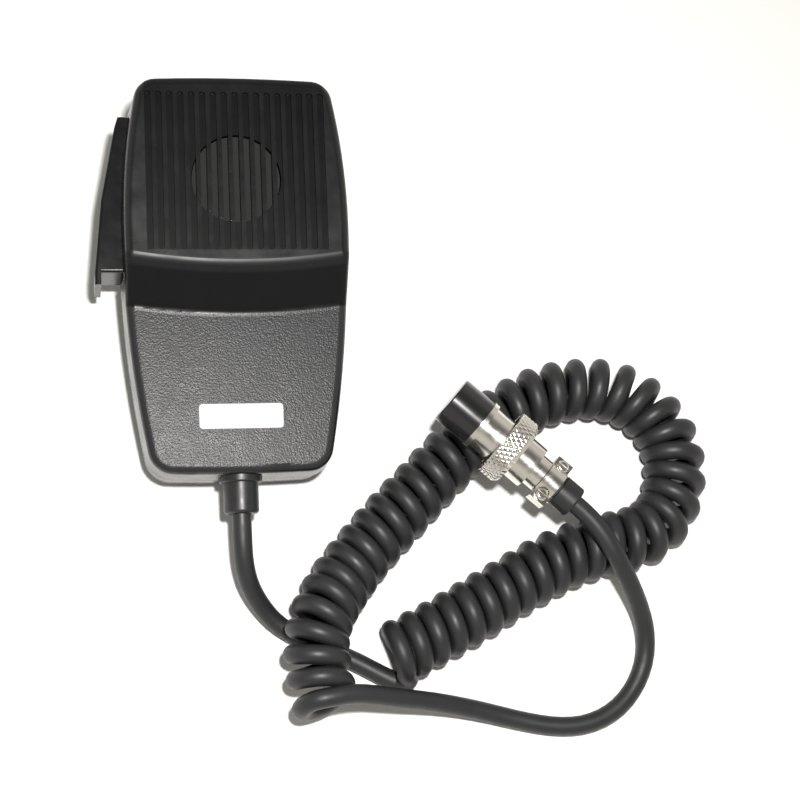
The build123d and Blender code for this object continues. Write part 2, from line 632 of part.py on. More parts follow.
with BuildPart() as switch_plunger:
    add(rod((PLUNGER_TIP_X, PLUNGER_Y, PLUNGER_Z), (PLUNGER_INNER_X, PLUNGER_Y, PLUNGER_Z), PLUNGER_RADIUS))
    fillet(switch_plunger.faces().sort_by(Axis.X)[0].edges(), 1.0)
keep(switch_plunger.part, "switch_plunger", HANDSET_PLACE)

terminal_places = [(x, PLUNGER_Y + dy) for x in (-13.0, -8.0) for dy in (-5.0, 0.0, 5.0)]
keep(posts(terminal_places, 0.4, BOARD_Z - 1.8, BOARD_TOP_Z), "switch_terminals", HANDSET_PLACE)

with BuildPart() as circuit_board:
    add(block((-BOARD_WIDTH / 2, BOARD_WIDTH / 2), (BOARD_FOOT_Y, BOARD_TOP_Y), (BOARD_Z, BOARD_TOP_Z)))
    fillet(circuit_board.edges().filter_by(Axis.Z), 1.5)
    add(posts(BOARD_SCREW_PLACES, 1.4, BOARD_Z, BOARD_TOP_Z), mode=Mode.SUBTRACT)
    add(posts(terminal_places, 0.5, BOARD_Z, BOARD_TOP_Z), mode=Mode.SUBTRACT)
keep(circuit_board.part, "circuit_board", HANDSET_PLACE)
keep(screws(BOARD_SCREW_PLACES, BOARD_TOP_Z, 1.1, 2.3, 1.5, 5.5, -1), "board_screws", HANDSET_PLACE)

with BuildPart() as board_capacitor:
    add(posts([(9.0, 8.0)], 2.5, BOARD_TOP_Z, BOARD_TOP_Z + 7))
    fillet(board_capacitor.faces().sort_by(Axis.Z)[-1].edges(), 0.4)
keep(board_capacitor.part, "board_capacitor", HANDSET_PLACE)
with BuildPart() as board_resistors:
    for middle_y in (-1.0, 17.0):
        add(block((2.0, 8.0), (middle_y - 1.2, middle_y + 1.2), (BOARD_TOP_Z, BOARD_TOP_Z + 2.2)))
    fillet(board_resistors.edges().filter_by(Axis.X), 0.7)
keep(board_resistors.part, "board_resistors", HANDSET_PLACE)

# ---------------------------------------------------------------- cord entry
with BuildPart() as strain_relief:
    add(rod((0, RELIEF_INNER_Y, CORD_Z), (0, RELIEF_END_Y, CORD_Z), RELIEF_RADIUS))
    fillet(strain_relief.faces().sort_by(Axis.Y)[0].edges(), 0.9)
    add(rod((0, RELIEF_COLLAR_TOP_Y, CORD_Z), (0, RELIEF_COLLAR_Y, CORD_Z), RELIEF_COLLAR_RADIUS))
    collar_rims = strain_relief.edges().filter_by(GeomType.CIRCLE)
    collar_rims = collar_rims.filter_by(lambda e: abs(e.radius - RELIEF_COLLAR_RADIUS) < 0.01)
    fillet(collar_rims.sort_by(Axis.Y)[0], 0.5)
    add(
        rod((0, RELIEF_INNER_Y, CORD_Z), (0, RELIEF_END_Y, CORD_Z), CORD_DIAMETER / 2 + 0.05),
        mode=Mode.SUBTRACT,
    )
keep(strain_relief.part, "strain_relief", HANDSET_PLACE)

keep(
    rod((0, CORD_INNER_Y, CORD_Z), (0, RELIEF_END_Y, CORD_Z), CORD_DIAMETER / 2),
    "cord_inside",
    HANDSET_PLACE,
)

with BuildPart() as cord_clamp:
    add(block((-8.1, 8.1), (CLAMP_Y - 2.5, CLAMP_Y + 2.5), (CLAMP_FOOT_Z + 0.02, CLAMP_TOP_Z)))
    fillet(cord_clamp.edges().filter_by(Axis.Z), 1.0)
    add(
        block((-2.5, 2.5), (CLAMP_Y - 3, CLAMP_Y + 3), (CLAMP_FOOT_Z - 1, CORD_Z)),
        mode=Mode.SUBTRACT,
    )
    add(rod((0, CLAMP_Y + 3, CORD_Z), (0, CLAMP_Y - 3, CORD_Z), 2.5), mode=Mode.SUBTRACT)
    add(posts(CLAMP_SCREW_PLACES, 1.05, CLAMP_FOOT_Z, CLAMP_TOP_Z), mode=Mode.SUBTRACT)
keep(cord_clamp.part, "cord_clamp", HANDSET_PLACE)
keep(screws(CLAMP_SCREW_PLACES, CLAMP_TOP_Z, 0.9, 1.9, 1.0, 11.0, -1), "cord_clamp_screws", HANDSET_PLACE)

for index, colour in enumerate(WIRE_COLOURS):
    side = -1 if index % 2 else 1
    level = -1 if index > 1 else 1
    pad_x = side * (6.0 if level > 0 else 2.0)
    start = (side * 0.95, CORD_INNER_Y, CORD_Z + level * 0.95)
    route = [
        start,
        (start[0], CORD_INNER_Y + 4, start[2]),
        (pad_x * 0.8, CORD_INNER_Y + 10, 14.0 + level),
        (pad_x, BOARD_FOOT_Y + 3.0, 12.5),
        (pad_x, BOARD_FOOT_Y + 3.4, BOARD_TOP_Z + 0.02),
    ]
    keep(cord_tube(route, WIRE_DIAMETER, "wire_" + colour), "wire_" + colour, HANDSET_PLACE)

# ---------------------------------------------------------------- free cord
exit_place = HANDSET_PLACE * Location((0, RELIEF_END_Y, CORD_Z))
lead_mic_route = [tuple(exit_place.position)] + LEAD_MIC_ROUTE
keep(cord_tube(lead_mic_route, CORD_DIAMETER, "cord_lead_mic"), "cord_lead_mic")
keep(cord_tube(COIL_ROUTE, COIL_DIAMETER, "cord_coil"), "cord_coil")
lead_plug_route = LEAD_PLUG_ROUTE + [tuple(PLUG_REAR)]
keep(cord_tube(lead_plug_route, CORD_DIAMETER, "cord_lead_plug"), "cord_lead_plug")

# ---------------------------------------------------------------- plug
plug_axis = (PLUG_REAR - PLUG_FRONT).normalized()
plug_across = Vector(0, 0, 1).cross(plug_axis).normalized()
sleeve_end = (PLUG_REAR - PLUG_FRONT).length


def plug_plane(distance):
    """The plane across the plug at a distance behind its front end."""
    return Plane(PLUG_FRONT + plug_axis * distance, x_dir=plug_across, z_dir=plug_axis)


def plug_ring(start, end, radius, bore=0.0):
    """A round length of the plug between two distances."""
    with BuildPart() as length:
        with BuildSketch(plug_plane(start)):
            Circle(radius)
            if bore:
                Circle(bore, mode=Mode.SUBTRACT)
        extrude(amount=end - start)
    return length.part


# the saddle's screws stand across the plug, with their heads on top of the upper ears
saddle_top = Plane(
    PLUG_FRONT + plug_axis * (SADDLE_START + SADDLE_LENGTH / 2) + plug_plane(0).y_dir * SADDLE_HEAD_SEAT,
    x_dir=plug_across,
    z_dir=plug_plane(0).y_dir,
)

with BuildPart() as plug_cap:
    add(plug_ring(0, CAP_END, CAP_RADIUS))
    fillet(plug_cap.edges().sort_by(Axis(PLUG_FRONT, plug_axis))[0], 0.5)
    add(plug_ring(1.2, CAP_END, CAP_BORE), mode=Mode.SUBTRACT)
keep(plug_cap.part, "plug_cap")

with BuildPart() as plug_barrel:
    add(plug_ring(1.6, LIP_END, CAP_BORE - RUNNING_GAP))
    add(plug_ring(CAP_END, LIP_END, LIP_RADIUS))
    add(plug_ring(LIP_END, RING_END, SHELL_RADIUS))
    add(plug_ring(1.6, RING_END, BARREL_BORE), mode=Mode.SUBTRACT)
keep(plug_barrel.part, "plug_barrel")

with BuildPart() as contact_insert:
    add(plug_ring(2.2, 8.0, BARREL_BORE - 0.05))
    with BuildSketch(plug_plane(2.0)):
        with PolarLocations(CONTACT_CIRCLE, 4):
            Circle(CONTACT_RADIUS + 0.05)
    extrude(amount=7, mode=Mode.SUBTRACT)
keep(contact_insert.part, "contact_insert")

with BuildPart() as contact_sockets:
    with BuildSketch(plug_plane(2.3)):
        with PolarLocations(CONTACT_CIRCLE, 4):
            Circle(CONTACT_RADIUS)
            Circle(CONTACT_RADIUS - 0.35, mode=Mode.SUBTRACT)
    extrude(amount=9.7)
keep(contact_sockets.part, "contact_sockets")

with BuildPart() as plug_wires:
    with BuildSketch(plug_plane(12.02)):
        with PolarLocations(CONTACT_CIRCLE, 4):
            Circle(0.55)
    extrude(amount=CORE_START - 12.04)
keep(plug_wires.part, "plug_wires")

with BuildPart() as coupling_ring:
    add(plug_ring(SHELL_END + RUNNING_GAP, RING_END - RUNNING_GAP, RING_RADIUS))
    chamfer(coupling_ring.edges(), 0.7)
    add(plug_ring(SHELL_END, SHELL_END + RING_RECESS, RING_THREAD_RADIUS), mode=Mode.SUBTRACT)
    add(plug_ring(SHELL_END, RING_END, SHELL_RADIUS + RUNNING_GAP), mode=Mode.SUBTRACT)
keep(coupling_ring.part, "coupling_ring")

with BuildPart() as plug_backshell:
    add(plug_ring(RING_END, BACKSHELL_END, BACKSHELL_RADIUS))
    add(plug_ring(BACKSHELL_END, TAIL_END, TAIL_RADIUS))
    add(plug_ring(RING_END, TAIL_END, TAIL_BORE), mode=Mode.SUBTRACT)
    with BuildSketch(plug_plane(SADDLE_START - 0.2)):
        with Locations((0, TAIL_RADIUS - SADDLE_SPLIT)):
            Rectangle(TAIL_RADIUS * 3, TAIL_RADIUS * 2)
    extrude(amount=TAIL_END - SADDLE_START + 0.4, mode=Mode.SUBTRACT)
    with BuildSketch(plug_plane(SADDLE_START)):
        ear_y = -SADDLE_SPLIT - SADDLE_EAR_HEIGHT / 2
        with Locations((-SADDLE_EAR_X, ear_y), (SADDLE_EAR_X, ear_y)):
            Rectangle(SADDLE_EAR_WIDTH, SADDLE_EAR_HEIGHT)
    extrude(amount=SADDLE_LENGTH)
    with BuildSketch(saddle_top):
        with Locations((-SADDLE_EAR_X, 0), (SADDLE_EAR_X, 0)):
            Circle(SADDLE_SCREW_RADIUS + 0.05)
    extrude(amount=-8, mode=Mode.SUBTRACT)
    add(plug_ring(SADDLE_START - 0.5, TAIL_END + 0.5, TAIL_BORE), mode=Mode.SUBTRACT)
keep(plug_backshell.part, "plug_backshell")

with BuildPart() as clamp_saddle:
    add(plug_ring(SADDLE_START, SADDLE_START + SADDLE_LENGTH, TAIL_RADIUS))
    with BuildSketch(plug_plane(SADDLE_START)):
        with Locations(*[(x, SADDLE_SPLIT + SADDLE_EAR_HEIGHT / 2) for x in (-SADDLE_EAR_X, SADDLE_EAR_X)]):
            Rectangle(SADDLE_EAR_WIDTH, SADDLE_EAR_HEIGHT)
    extrude(amount=SADDLE_LENGTH)
    with BuildSketch(plug_plane(SADDLE_START)):
        with Locations((0, SADDLE_SPLIT - TAIL_RADIUS)):
            Rectangle(TAIL_RADIUS * 4, TAIL_RADIUS * 2)
    extrude(amount=SADDLE_LENGTH, mode=Mode.SUBTRACT)
    with BuildSketch(saddle_top):
        with Locations((-SADDLE_EAR_X, 0), (SADDLE_EAR_X, 0)):
            Circle(SADDLE_SCREW_RADIUS + 0.1)
    extrude(amount=-8, mode=Mode.SUBTRACT)
    with BuildSketch(saddle_top):
        with Locations((-SADDLE_EAR_X, 0), (SADDLE_EAR_X, 0)):
            Circle(SADDLE_SCREW_HEAD_RADIUS + 0.1)
    extrude(amount=4, mode=Mode.SUBTRACT)
    add(plug_ring(SADDLE_START, TAIL_END, TAIL_BORE), mode=Mode.SUBTRACT)
keep(clamp_saddle.part, "clamp_saddle")

with BuildPart() as saddle_screws:
    with BuildSketch(saddle_top):
        with Locations((-SADDLE_EAR_X, 0), (SADDLE_EAR_X, 0)):
            Circle(SADDLE_SCREW_HEAD_RADIUS)
    extrude(amount=SADDLE_SCREW_HEAD)
    crowns = saddle_screws.faces().sort_by(Axis.Z)[-2:]
    fillet(crowns.edges(), SADDLE_SCREW_HEAD * 0.7)
    with BuildSketch(saddle_top):
        with Locations((-SADDLE_EAR_X, 0), (SADDLE_EAR_X, 0)):
            Circle(SADDLE_SCREW_RADIUS)
    extrude(amount=-SADDLE_SCREW_LENGTH)
    with BuildSketch(saddle_top.offset(SADDLE_SCREW_HEAD)):
        with Locations((-SADDLE_EAR_X, 0), (SADDLE_EAR_X, 0)):
            Rectangle(0.5, SADDLE_SCREW_HEAD_RADIUS * 3)
    extrude(amount=-0.5, mode=Mode.SUBTRACT)
keep(saddle_screws.part, "saddle_screws")

with BuildPart() as plug_sleeve:
    add(plug_ring(TAIL_END + 0.02, sleeve_end, SLEEVE_RADIUS))
    fillet(plug_sleeve.edges().sort_by(Axis(PLUG_FRONT, plug_axis))[-1], 0.6)
    add(plug_ring(TAIL_END, sleeve_end, CORD_DIAMETER / 2 + 0.05), mode=Mode.SUBTRACT)
keep(plug_sleeve.part, "plug_sleeve")
keep(plug_ring(CORE_START, sleeve_end, CORD_DIAMETER / 2), "plug_cord_end")
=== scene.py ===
"""Looks of a two-way radio's hand microphone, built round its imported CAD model.

The handset lies face up on a pale table with its curly cord and its locking plug.  Lengths are
in metres unless a name ends in _mm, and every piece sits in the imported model's own frame.
"""

import json
import logging
import math
from collections.abc import Callable, Sequence
from dataclasses import dataclass, field
from enum import Enum

import bmesh
import bpy
from mathutils import Matrix, Vector

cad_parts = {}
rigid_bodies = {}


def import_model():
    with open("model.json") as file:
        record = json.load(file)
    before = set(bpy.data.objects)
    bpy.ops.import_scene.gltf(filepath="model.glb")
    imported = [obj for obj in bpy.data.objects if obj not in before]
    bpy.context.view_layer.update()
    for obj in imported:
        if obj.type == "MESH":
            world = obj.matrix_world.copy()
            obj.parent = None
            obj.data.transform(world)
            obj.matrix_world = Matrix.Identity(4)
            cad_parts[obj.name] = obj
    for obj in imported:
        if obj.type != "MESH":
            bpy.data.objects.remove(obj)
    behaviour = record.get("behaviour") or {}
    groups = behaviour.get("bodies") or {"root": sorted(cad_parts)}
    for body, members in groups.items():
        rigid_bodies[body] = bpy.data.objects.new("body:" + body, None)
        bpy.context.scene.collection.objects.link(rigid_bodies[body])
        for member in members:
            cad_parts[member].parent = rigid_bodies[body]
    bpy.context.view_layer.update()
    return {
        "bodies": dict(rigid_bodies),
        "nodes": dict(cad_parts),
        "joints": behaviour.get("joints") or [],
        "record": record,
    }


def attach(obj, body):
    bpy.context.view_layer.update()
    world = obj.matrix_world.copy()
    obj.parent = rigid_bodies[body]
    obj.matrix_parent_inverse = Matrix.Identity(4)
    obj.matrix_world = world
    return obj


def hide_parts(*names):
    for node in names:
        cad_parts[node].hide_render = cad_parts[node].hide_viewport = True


log = logging.getLogger("hand_microphone")

MM = 0.001

Point = tuple[float, float, float]
Colour = tuple[float, float, float]
Range = tuple[float, float]

# where most of a noise texture's values lie
NOISE_SPAN: Range = (0.3, 0.7)


class Slot(Enum):
    """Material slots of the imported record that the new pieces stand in."""

    JACKET = "cord_jacket"
    CHROME = "chrome"


class Zone(Enum):
    """Parts of the case's front that have a finish of their own."""

    HEAD = "head"
    RIDGE = "ridge"
    SLOPE = "slope"
    GRILLE = "grille"
    CHANNEL = "channel"
    PANEL = "panel"


# ------------------------------------------------------------------ node trees


@dataclass
class Shader:
    """A node tree that ends in one Principled shader."""

    name: str
    material: bpy.types.Material = field(init=False)
    principled: bpy.types.Node = field(init=False)

    def __post_init__(self) -> None:
        """Make the material, its Principled shader and the Object coordinates."""
        self.material = bpy.data.materials.new(self.name)
        self.material.use_nodes = True
        self.principled = self.material.node_tree.nodes["Principled BSDF"]
        self.coordinates = self.add("ShaderNodeTexCoord").outputs["Object"]

    def add(self, kind: str, **settings: object) -> bpy.types.Node:
        """Add a node.

        Args:
            kind: The node's Blender type name.
            **settings: Attributes to set on the node.

        Returns:
            The new node.
        """
        node = self.material.node_tree.nodes.new(kind)
        for key, value in settings.items():
            setattr(node, key, value)
        return node

    def link(self, source: bpy.types.NodeSocket, target: bpy.types.NodeSocket) -> None:
        """Link one socket to another."""
        self.material.node_tree.links.new(source, target)

    def feed(self, target: bpy.types.NodeSocket, value: object) -> None:
        """Link a socket, or set a plain value, on another node's input."""
        if isinstance(value, bpy.types.NodeSocket):
            self.link(value, target)
        else:
            target.default_value = value

    def set(self, **values: object) -> None:
        """Set Principled inputs by name, with underscores for spaces."""
        for key, value in values.items():
            self.feed(self.principled.inputs[key.replace("_", " ")], value)

    def math(self, operation: str, *values: object, clamp: bool = False) -> bpy.types.NodeSocket:
        """Add a Math node.

        Args:
            operation: The Math node's operation.
            *values: Its inputs, as sockets or numbers.
            clamp: True to keep the result between 0 and 1.

        Returns:
            The result socket.
        """
        node = self.add("ShaderNodeMath", operation=operation, use_clamp=clamp)
        for socket, value in zip(node.inputs, values):
            self.feed(socket, value)
        return node.outputs[0]

    def noise(
        self,
        size: float,
        detail: float = 2.0,
        roughness: float = 0.5,
        where: bpy.types.NodeSocket | None = None,
    ) -> bpy.types.NodeSocket:
        """Add a noise texture.

        Args:
            size: The size of one grain, in metres.
            detail: How many finer octaves it has.
            roughness: How strong the finer octaves are.
            where: The coordinates to read, or None for Object coordinates.

        Returns:
            The noise value, from 0 to 1.
        """
        node = self.add("ShaderNodeTexNoise")
        self.link(where or self.coordinates, node.inputs["Vector"])
        node.inputs["Scale"].default_value = 1.0 / size
        node.inputs["Detail"].default_value = detail
        node.inputs["Roughness"].default_value = roughness
        return node.outputs["Fac"]

    def spread(
        self, value: object, low: float, high: float, to_low: float = 0.0, to_high: float = 1.0
    ) -> bpy.types.NodeSocket:
        """Map a value's range onto another, clamped.

        Args:
            value: The value.
            low: The value that gives to_low.
            high: The value that gives to_high.
            to_low: The result at and below the low end.
            to_high: The result at and above the high end.

        Returns:
            The mapped value.
        """
        node = self.add("ShaderNodeMapRange", clamp=True)
        names = ("Value", "From Min", "From Max", "To Min", "To Max")
        for name, given in zip(names, (value, low, high, to_low, to_high)):
            self.feed(node.inputs[name], given)
        return node.outputs[0]

    def rising(self, value: object, edge: Range) -> bpy.types.NodeSocket:
        """A mask that is 0 below an edge and 1 above it."""
        return self.spread(value, *edge)

    def falling(self, value: object, edge: Range) -> bpy.types.NodeSocket:
        """A mask that is 1 below an edge and 0 above it."""
        return self.spread(value, *edge, 1.0, 0.0)

    def times(self, first: object, second: object) -> bpy.types.NodeSocket:
        """One value times another."""
        return self.math("MULTIPLY", first, second)

    def layer(self, value: object, mask: object, amount: float) -> bpy.types.NodeSocket:
        """A value with an amount added where a mask is 1."""
        return self.math("ADD", value, self.times(mask, amount))

    def mix(self, factor: object, first: Colour, second: Colour) -> bpy.types.NodeSocket:
        """Mix two plain colours.

        Args:
            factor: How much of the second one shows.
            first: The first colour.
            second: The second colour.

        Returns:
            The mixed colour.
        """
        node = self.add("ShaderNodeMix", data_type="RGBA")
        self.feed(node.inputs["Factor"], factor)
        node.inputs["A"].default_value = (*first, 1.0)
        node.inputs["B"].default_value = (*second, 1.0)
        return node.outputs["Result"]

    def cover(
        self, factor: object, under: bpy.types.NodeSocket, colour: Colour
    ) -> bpy.types.NodeSocket:
        """Lay a plain colour over another.

        Args:
            factor: How much of the plain colour shows.
            under: The colour below it.
            colour: The plain colour.

        Returns:
            The covered colour.
        """
        node = self.add("ShaderNodeMix", data_type="RGBA")
        self.feed(node.inputs["Factor"], factor)
        self.link(under, node.inputs["A"])
        node.inputs["B"].default_value = (*colour, 1.0)
        return node.outputs["Result"]

    def bump(
        self,
        height: object,
        distance: float,
        strength: object = 1.0,
        below: bpy.types.NodeSocket | None = None,
    ) -> bpy.types.NodeSocket:
        """Add a bump.

        Args:
            height: The height, from 0 to 1.
            distance: The height of 1, in metres.
            strength: How much of it shows, from 0 to 1.
            below: A normal to add this bump to, or None.

        Returns:
            The bent normal.
        """
        node = self.add("ShaderNodeBump")
        self.feed(node.inputs["Height"], height)
        node.inputs["Distance"].default_value = distance
        self.feed(node.inputs["Strength"], strength)
        if below:
            self.link(below, node.inputs["Normal"])
        return node.outputs["Normal"]

    def axes(self, where: object = None) -> tuple[bpy.types.NodeSocket, ...]:
        """Split coordinates into x, y and z."""
        node = self.add("ShaderNodeSeparateXYZ")
        self.link(where or self.coordinates, node.inputs[0])
        return tuple(node.outputs)


# ------------------------------------------------------------------ finishes


@dataclass(frozen=True)
class Plastic:
    """Moulded plastic with a fine mould grain and handling marks.

    Attributes:
        name: The material's name.
        colour: Its base colour.
        roughness: Its mean roughness.
        grain_mm: The size of the mould grain, or 0 for polished plastic.
        grain_depth_mm: The depth of the grain.
        coat: How glossy its skin is, from 0 to 1.
        shine: How strongly its bare surface reflects, with 0.5 for most plastics.
    """

    name: str
    colour: Colour
    roughness: float = 0.4
    grain_mm: float = 0.35
    grain_depth_mm: float = 0.02
    coat: float = 0.0
    shine: float = 0.5

    def material(self) -> bpy.types.Material:
        """Returns the finished material."""
        shader = Shader(self.name)
        tone = shader.noise(14 * MM, 3.0)
        darker = tuple(0.8 * c for c in self.colour)
        lighter = tuple(min(1.0, 1.2 * c + 0.002) for c in self.colour)
        shader.set(Base_Color=shader.mix(tone, darker, lighter), Specular_IOR_Level=self.shine)
        shader.set(Coat_Weight=self.coat, Coat_Roughness=0.12)
        rub = shader.noise(4 * MM, 4.0)
        smooth, rough = 0.85 * self.roughness, 1.15 * self.roughness
        shader.set(Roughness=shader.spread(rub, *NOISE_SPAN, smooth, rough))
        if self.grain_mm:
            grain = shader.noise(self.grain_mm * MM, 2.0)
            shader.set(Normal=shader.bump(grain, self.grain_depth_mm * MM))
        return shader.material


@dataclass(frozen=True)
class CasePlastic:
    """Black case plastic: satin head, grille and polished step with painted shade, sparkling
    panel.

    Ranges are in the handset's own frame, in millimetres.  The step's ridge and foot run on arcs
    about one far centre, so theirs are distances from it.

    Attributes:
        name: The material's name.
        tilt: The handset's turn about x, in radians.
        shift: Where the handset's own origin lies in the row frame, in metres.
        arc_centre_y: Where the step's arcs have their centre.
        head_stop: Where the head ends at the ridge.
        ridge_start: Where the ridge begins.
        ridge_stop: Where the ridge gives way to the slope.
        foot: Where the slope gives way to the lower panel.
        rim: The heights over which the panel's rounded rim gives way to its flat.
        seam: The heights above which the head's finish holds.
        grille_side: How far the grille reaches from the middle.
        grille_foot: Where the grille begins above the step.
        channel_floor: The heights over which the grille's channels give way to its ribs.
        rougher: How much rougher than the satin each zone is.
        shinier: How much more than plain plastic each zone reflects.
    """

    name: str
    tilt: float
    shift: Point
    arc_centre_y: float = 168.0
    head_stop: Range = (162.4, 163.2)
    ridge_start: Range = (160.4, 161.6)
    ridge_stop: Range = (163.4, 164.2)
    foot: Range = (172.9, 173.5)
    rim: Range = (24.3, 24.9)
    seam: Range = (14.0, 15.0)
    grille_side: Range = (22.3, 22.5)
    grille_foot: Range = (9.4, 9.8)
    channel_floor: Range = (31.2, 31.9)
    rougher: tuple[tuple[Zone, float], ...] = (
        (Zone.HEAD, 0.02),
        (Zone.RIDGE, 0.2),
        (Zone.CHANNEL, 0.14),
        (Zone.PANEL, 0.06),
    )
    shinier: tuple[tuple[Zone, float], ...] = (
        (Zone.SLOPE, -0.28),
        (Zone.GRILLE, -0.26),
        (Zone.CHANNEL, -0.12),
        (Zone.RIDGE, -0.3),
        (Zone.PANEL, -0.25),
    )

    def handset_axes(self, shader: Shader) -> tuple[bpy.types.NodeSocket, ...]:
        """Turn Object coordinates back into the handset's own frame.

        Args:
            shader: The node tree.

        Returns:
            x, y and z, in millimetres.
        """
        mapping = shader.add("ShaderNodeMapping", vector_type="TEXTURE")
        shader.link(shader.coordinates, mapping.inputs["Vector"])
        mapping.inputs["Location"].default_value = self.shift
        mapping.inputs["Rotation"].default_value = (self.tilt, 0, 0)
        mapping.inputs["Scale"].default_value = (MM, MM, MM)
        return shader.axes(mapping.outputs[0])

    def zones(self, shader: Shader) -> dict[Zone, bpy.types.NodeSocket]:
        """Make the mask of each zone.

        Args:
            shader: The node tree.

        Returns:
            The masks.
        """
        x, y, z = self.handset_axes(shader)
        from_centre = shader.math("SUBTRACT", self.arc_centre_y, y)
        x_square = shader.math("POWER", x, 2.0)
        squares = shader.math("ADD", x_square, shader.math("POWER", from_centre, 2.0))
        radial = shader.math("SQRT", squares)
        below_foot = shader.rising(radial, self.foot)
        above_foot = shader.math("SUBTRACT", 1.0, below_foot)
        on_head = shader.falling(radial, self.head_stop)
        across = shader.falling(shader.math("ABSOLUTE", x), self.grille_side)
        grille = shader.times(across, shader.rising(y, self.grille_foot))
        past_ridge_start = shader.rising(radial, self.ridge_start)
        return {
            Zone.HEAD: shader.times(on_head, shader.rising(z, self.seam)),
            Zone.RIDGE: shader.times(past_ridge_start, shader.falling(radial, self.ridge_stop)),
            Zone.SLOPE: shader.times(shader.rising(radial, self.ridge_stop), above_foot),
            Zone.GRILLE: grille,
            Zone.CHANNEL: shader.times(grille, shader.falling(z, self.channel_floor)),
            Zone.PANEL: shader.times(below_foot, shader.rising(z, self.rim)),
        }

    def base_colour(
        self, shader: Shader, zones: dict[Zone, bpy.types.NodeSocket]
    ) -> bpy.types.NodeSocket:
        """Make the colour: uneven black with dust, painted shade on slope and channels, greyer
        below.

        Args:
            shader: The node tree.
            zones: The zones' masks.

        Returns:
            The colour.
        """
        tone = shader.noise(14 * MM, 3.0)
        dust = shader.spread(shader.noise(0.5 * MM, 1.0), 0.72, 0.78)
        base = shader.mix(tone, (0.0062, 0.0062, 0.007), (0.0098, 0.0098, 0.0108))
        base = shader.cover(shader.times(dust, 0.2), base, (0.08, 0.078, 0.072))
        # painted shade: the step's slope is painted darker where it faces away from the light
        base = shader.cover(shader.times(zones[Zone.SLOPE], 0.8), base, (0.003, 0.003, 0.0034))
        # painted shade: the grille's channels are painted darker where shade falls in them
        base = shader.cover(zones[Zone.CHANNEL], base, (0.0028, 0.0028, 0.003))
        # the lower panel is painted greyer, partly for its grain and partly as painted sheen
        return shader.cover(zones[Zone.PANEL], base, (0.024, 0.024, 0.0258))

    def material(self) -> bpy.types.Material:
        """Make the material.

        Returns:
            The finished material.
        """
        shader = Shader(self.name)
        zones = self.zones(shader)
        roughness = shader.spread(shader.noise(5 * MM, 4.0), *NOISE_SPAN, 0.22, 0.29)
        for zone, amount in self.rougher:
            roughness = shader.layer(roughness, zones[zone], amount)
        shine = 0.5
        for zone, amount in self.shinier:
            shine = shader.layer(shine, zones[zone], amount)
        fine = shader.noise(0.28 * MM, 2.0)
        coarse = shader.noise(0.46 * MM, 2.0, 0.6)
        satin = shader.bump(fine, 0.02 * MM, shader.layer(0.12, zones[Zone.HEAD], 0.12))
        normal = shader.bump(coarse, 0.085 * MM, zones[Zone.PANEL], satin)
        shader.set(Base_Color=self.base_colour(shader, zones), Roughness=roughness)
        shader.set(Specular_IOR_Level=shine, Normal=normal)
        return shader.material


@dataclass(frozen=True)
class Rubber:
    """Cord jacket or moulded relief: satin dark rubber with faint scuffs along it.

    Attributes:
        name: The material's name.
        colour: Its base colour.
        roughness: Its mean roughness.
    """

    name: str
    colour: Colour
    roughness: float = 0.42

    def material(self) -> bpy.types.Material:
        """Returns the finished material."""
        shader = Shader(self.name)
        tone = shader.noise(9 * MM, 4.0)
        lighter = tuple(1.5 * c for c in self.colour)
        shader.set(Base_Color=shader.mix(tone, self.colour, lighter))
        bloom = shader.noise(3 * MM, 5.0, 0.6)
        smooth, rough = self.roughness - 0.05, self.roughness + 0.09
        shader.set(Roughness=shader.spread(bloom, *NOISE_SPAN, smooth, rough))
        skin = shader.bump(shader.noise(0.25 * MM, 2.0), 0.012 * MM, 0.5)
        shader.set(Normal=shader.bump(shader.noise(2.2 * MM, 2.0), 0.03 * MM, 0.4, skin))
        return shader.material


@dataclass(frozen=True)
class PlatedMetal:
    """Bright nickel-chrome plating with polishing marks, fingerprints and dull spots.

    Attributes:
        name: The material's name.
        colour: Its reflection colour.
        roughness: Its mean roughness.
        spot: How much duller the handled spots are.
    """

    name: str
    colour: Colour = (0.93, 0.895, 0.83)
    roughness: float = 0.17
    spot: float = 0.13

    def material(self) -> bpy.types.Material:
        """Returns the finished material."""
        shader = Shader(self.name)
        prints = shader.noise(2.6 * MM, 5.0, 0.62)
        cloudy = shader.noise(7 * MM, 2.0)
        dull = tuple(0.82 * c for c in self.colour)
        shader.set(Base_Color=shader.mix(cloudy, self.colour, dull), Metallic=1.0)
        dulled = self.roughness + self.spot
        shader.set(Roughness=shader.spread(prints, 0.42, 0.78, self.roughness, dulled))
        marks = shader.bump(shader.noise(0.5 * MM, 4.0), 0.006 * MM, 0.5)
        shader.set(Normal=shader.bump(shader.noise(4 * MM, 2.0), 0.03 * MM, 0.3, marks))
        return shader.material


@dataclass(frozen=True)
class BrushedPlate:
    """Aluminium label with straight brushing across it."""

    name: str = "label_aluminium"

    def material(self) -> bpy.types.Material:
        """Returns the finished material."""
        shader = Shader(self.name)
        mapping = shader.add("ShaderNodeMapping")
        shader.link(shader.coordinates, mapping.inputs["Vector"])
        mapping.inputs["Scale"].default_value = (0.03, 1.0, 1.0)
        brushing = shader.noise(0.12 * MM, 3.0, 0.6, mapping.outputs[0])
        tint = shader.mix(brushing, (0.42, 0.42, 0.405), (0.53, 0.53, 0.515))
        shader.set(Base_Color=tint, Metallic=0.25)
        shader.set(Roughness=shader.spread(brushing, *NOISE_SPAN, 0.45, 0.58))
        shader.set(Normal=shader.bump(brushing, 0.01 * MM, 0.6))
        return shader.material


